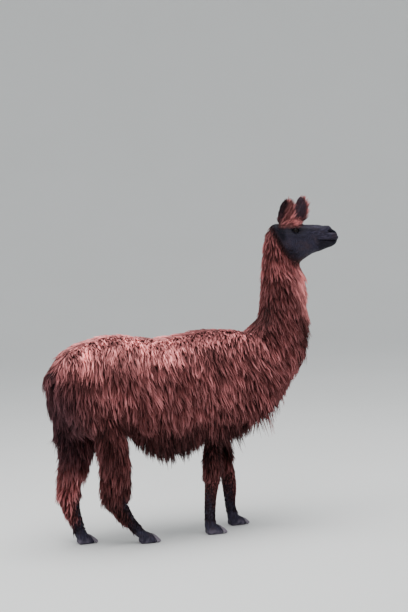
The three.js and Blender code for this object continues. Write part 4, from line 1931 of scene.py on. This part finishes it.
# ---------------------------------------------------------------- the studio
@dataclass
class Studio:
    """Pale seamless floor, soft light from above, and the camera.

    Attributes:
        bearing: Degrees the camera stands round from the animal's right side, towards its tail.
        distance: Metres from the animal to the camera.
        height: Height of the lens in metres.
        dip: Degrees the camera looks down.
        roll: Degrees the camera is rolled.
        sensor: Length in millimetres of the longer side of the frame.
        focal: Focal length in millimetres.
        aside: How far the camera aims towards the head.
        middle: Shift in metres of the camera along the animal.
        flat: Radius of the level floor.
        curve: Radius of the curve that the floor rises in behind it.
        wall: Height that it ends at.
        pale: Colours that the floor's faint clouds run between.
        heart: Height in metres that the lights face.
        air: Colour of the light from all round.
        air_strength: Strength of that light.
    """

    bearing: float = -18.0
    distance: float = 7.0
    height: float = 1.584
    dip: float = 3.2366
    roll: float = -3.0
    sensor: float = 36.0
    focal: float = 79.06
    aside: float = 0.07
    middle: float = -0.004769
    flat: float = 11.0
    curve: float = 7.0
    wall: float = 13.0
    pale: tuple[Colour, Colour] = ((0.80, 0.81, 0.79, 1.0), (0.84, 0.84, 0.83, 1.0))
    heart: float = 0.9
    air: Colour = (0.93, 0.96, 1.0, 1.0)
    air_strength: float = 0.8

    def build(self) -> None:
        """Makes the floor, the lights and the camera."""
        self.floor()
        self.lights()
        self.camera()

    def camera(self) -> None:
        """Sets the camera that keeps the animal's framing."""
        angle = math.radians(self.bearing)
        place = Vector((self.distance * math.sin(angle), -self.distance * math.cos(angle), self.height))
        aim = Vector((self.aside * math.cos(angle), self.aside * math.sin(angle), 0.0))
        aim.z = self.height - self.distance * math.tan(math.radians(self.dip))
        ahead = (aim - place).normalized()
        right = ahead.cross(Vector((0.0, 0.0, 1.0))).normalized()
        top = right.cross(ahead)
        roll = math.radians(self.roll)
        side = right * math.cos(roll) + top * math.sin(roll)
        high = top * math.cos(roll) - right * math.sin(roll)
        data = bpy.data.cameras.new("camera")
        data.sensor_width = self.sensor
        data.lens = self.focal
        item = bpy.data.objects.new("camera", data)
        bpy.context.scene.collection.objects.link(item)
        axes = zip(side, high, -ahead, place + Vector((self.middle, 0.0, 0.0)))
        item.matrix_world = Matrix([*axes, (0.0, 0.0, 0.0, 1.0)])
        bpy.context.scene.camera = item

    def floor(self) -> None:
        """Round floor that curves up far behind the animal on every side."""
        profile = [(1.0, 0.0), (5.0, 0.0), (self.flat - 0.5, 0.0), (self.flat, 0.0)]
        steps, segments = 12, 96
        for step in range(1, steps + 1):
            angle = math.pi / 2.0 * step / steps
            out, up = self.curve * math.sin(angle), self.curve - self.curve * math.cos(angle)
            profile.append((self.flat + out, up))
        profile.append((self.flat + self.curve, self.wall))
        turns = [2.0 * math.pi * step / segments for step in range(segments)]
        build = bmesh.new()
        rings = [
            [build.verts.new((radius * math.cos(turn), radius * math.sin(turn), height)) for turn in turns]
            for radius, height in profile
        ]
        build.faces.new(rings[0])
        for low, high in zip(rings, rings[1:]):
            for step in range(segments):
                after = (step + 1) % segments
                build.faces.new((low[step], low[after], high[after], high[step]))
        for face in build.faces:
            face.smooth = len(face.verts) == 4
        bmesh.ops.recalc_face_normals(build, faces=build.faces)
        bmesh.ops.reverse_faces(build, faces=build.faces)
        mesh = bpy.data.meshes.new("studio_floor")
        build.to_mesh(mesh)
        build.free()
        item = add_object("studio_floor", mesh)
        material, w, shader = new_material("pale_floor", FULL_SHINE)
        place = w.node("ShaderNodeTexCoord").outputs["Object"]
        cloud = w.node("ShaderNodeTexNoise", Vector=place, Scale=0.8, Detail=2.0)
        w.feed(shader.inputs["Base Color"], blend(w, cloud.outputs["Fac"], *self.pale))
        shader.inputs["Roughness"].default_value = 0.85
        mesh.materials.append(material)

    def lights(self) -> None:
        """Even sky and one large soft panel above."""
        world = bpy.data.worlds.new("studio_air")
        world.use_nodes = True
        back = world.node_tree.nodes["Background"]
        back.inputs["Color"].default_value = self.air
        back.inputs["Strength"].default_value = self.air_strength
        bpy.context.scene.world = world
        self.panel("top_light", place=(-0.6, -0.6, 6.0), size=5.0, power=420.0)
        self.panel("side_light", place=(-4.0, -6.5, 4.5), size=3.0, power=90.0)

    def panel(self, name: str, place: tuple[float, float, float], size: float, power: float) -> None:
        """Adds a square light that faces the middle of the animal.

        Args:
            name: Name of the light.
            place: Where it hangs.
            size: Length of its side in metres.
            power: Watts.
        """
        data = bpy.data.lights.new(name, "AREA")
        data.size = size
        data.energy = power
        item = bpy.data.objects.new(name, data)
        item.location = place
        aim = Vector((0.0, 0.0, self.heart)) - Vector(place)
        item.rotation_euler = aim.to_track_quat("-Z", "Y").to_euler()
        bpy.context.scene.collection.objects.link(item)


# ---------------------------------------------------------------- putting it together
def main() -> None:
    """Builds the animal piece by piece and reports each one."""
    Studio().build()
    streaks = StreakEffect().build()
    skin = Skin()
    skin.build()
    skin.dress(HideFinish().build(streaks))
    Coat(skin.item, FleeceFinish().build()).grow()
    skin.mount()
    wet = EyeFinish().build()
    for side, name in ((-1.0, "right"), (1.0, "left")):
        Eyeball(f"eyeball_{name}", f"eye_{name}", side).build(wet)
    Nails().dress(HornFinish().build(streaks))


if __name__ == "__main__":
    logging.basicConfig(level=logging.INFO, format="%(name)s: %(message)s")
    main()
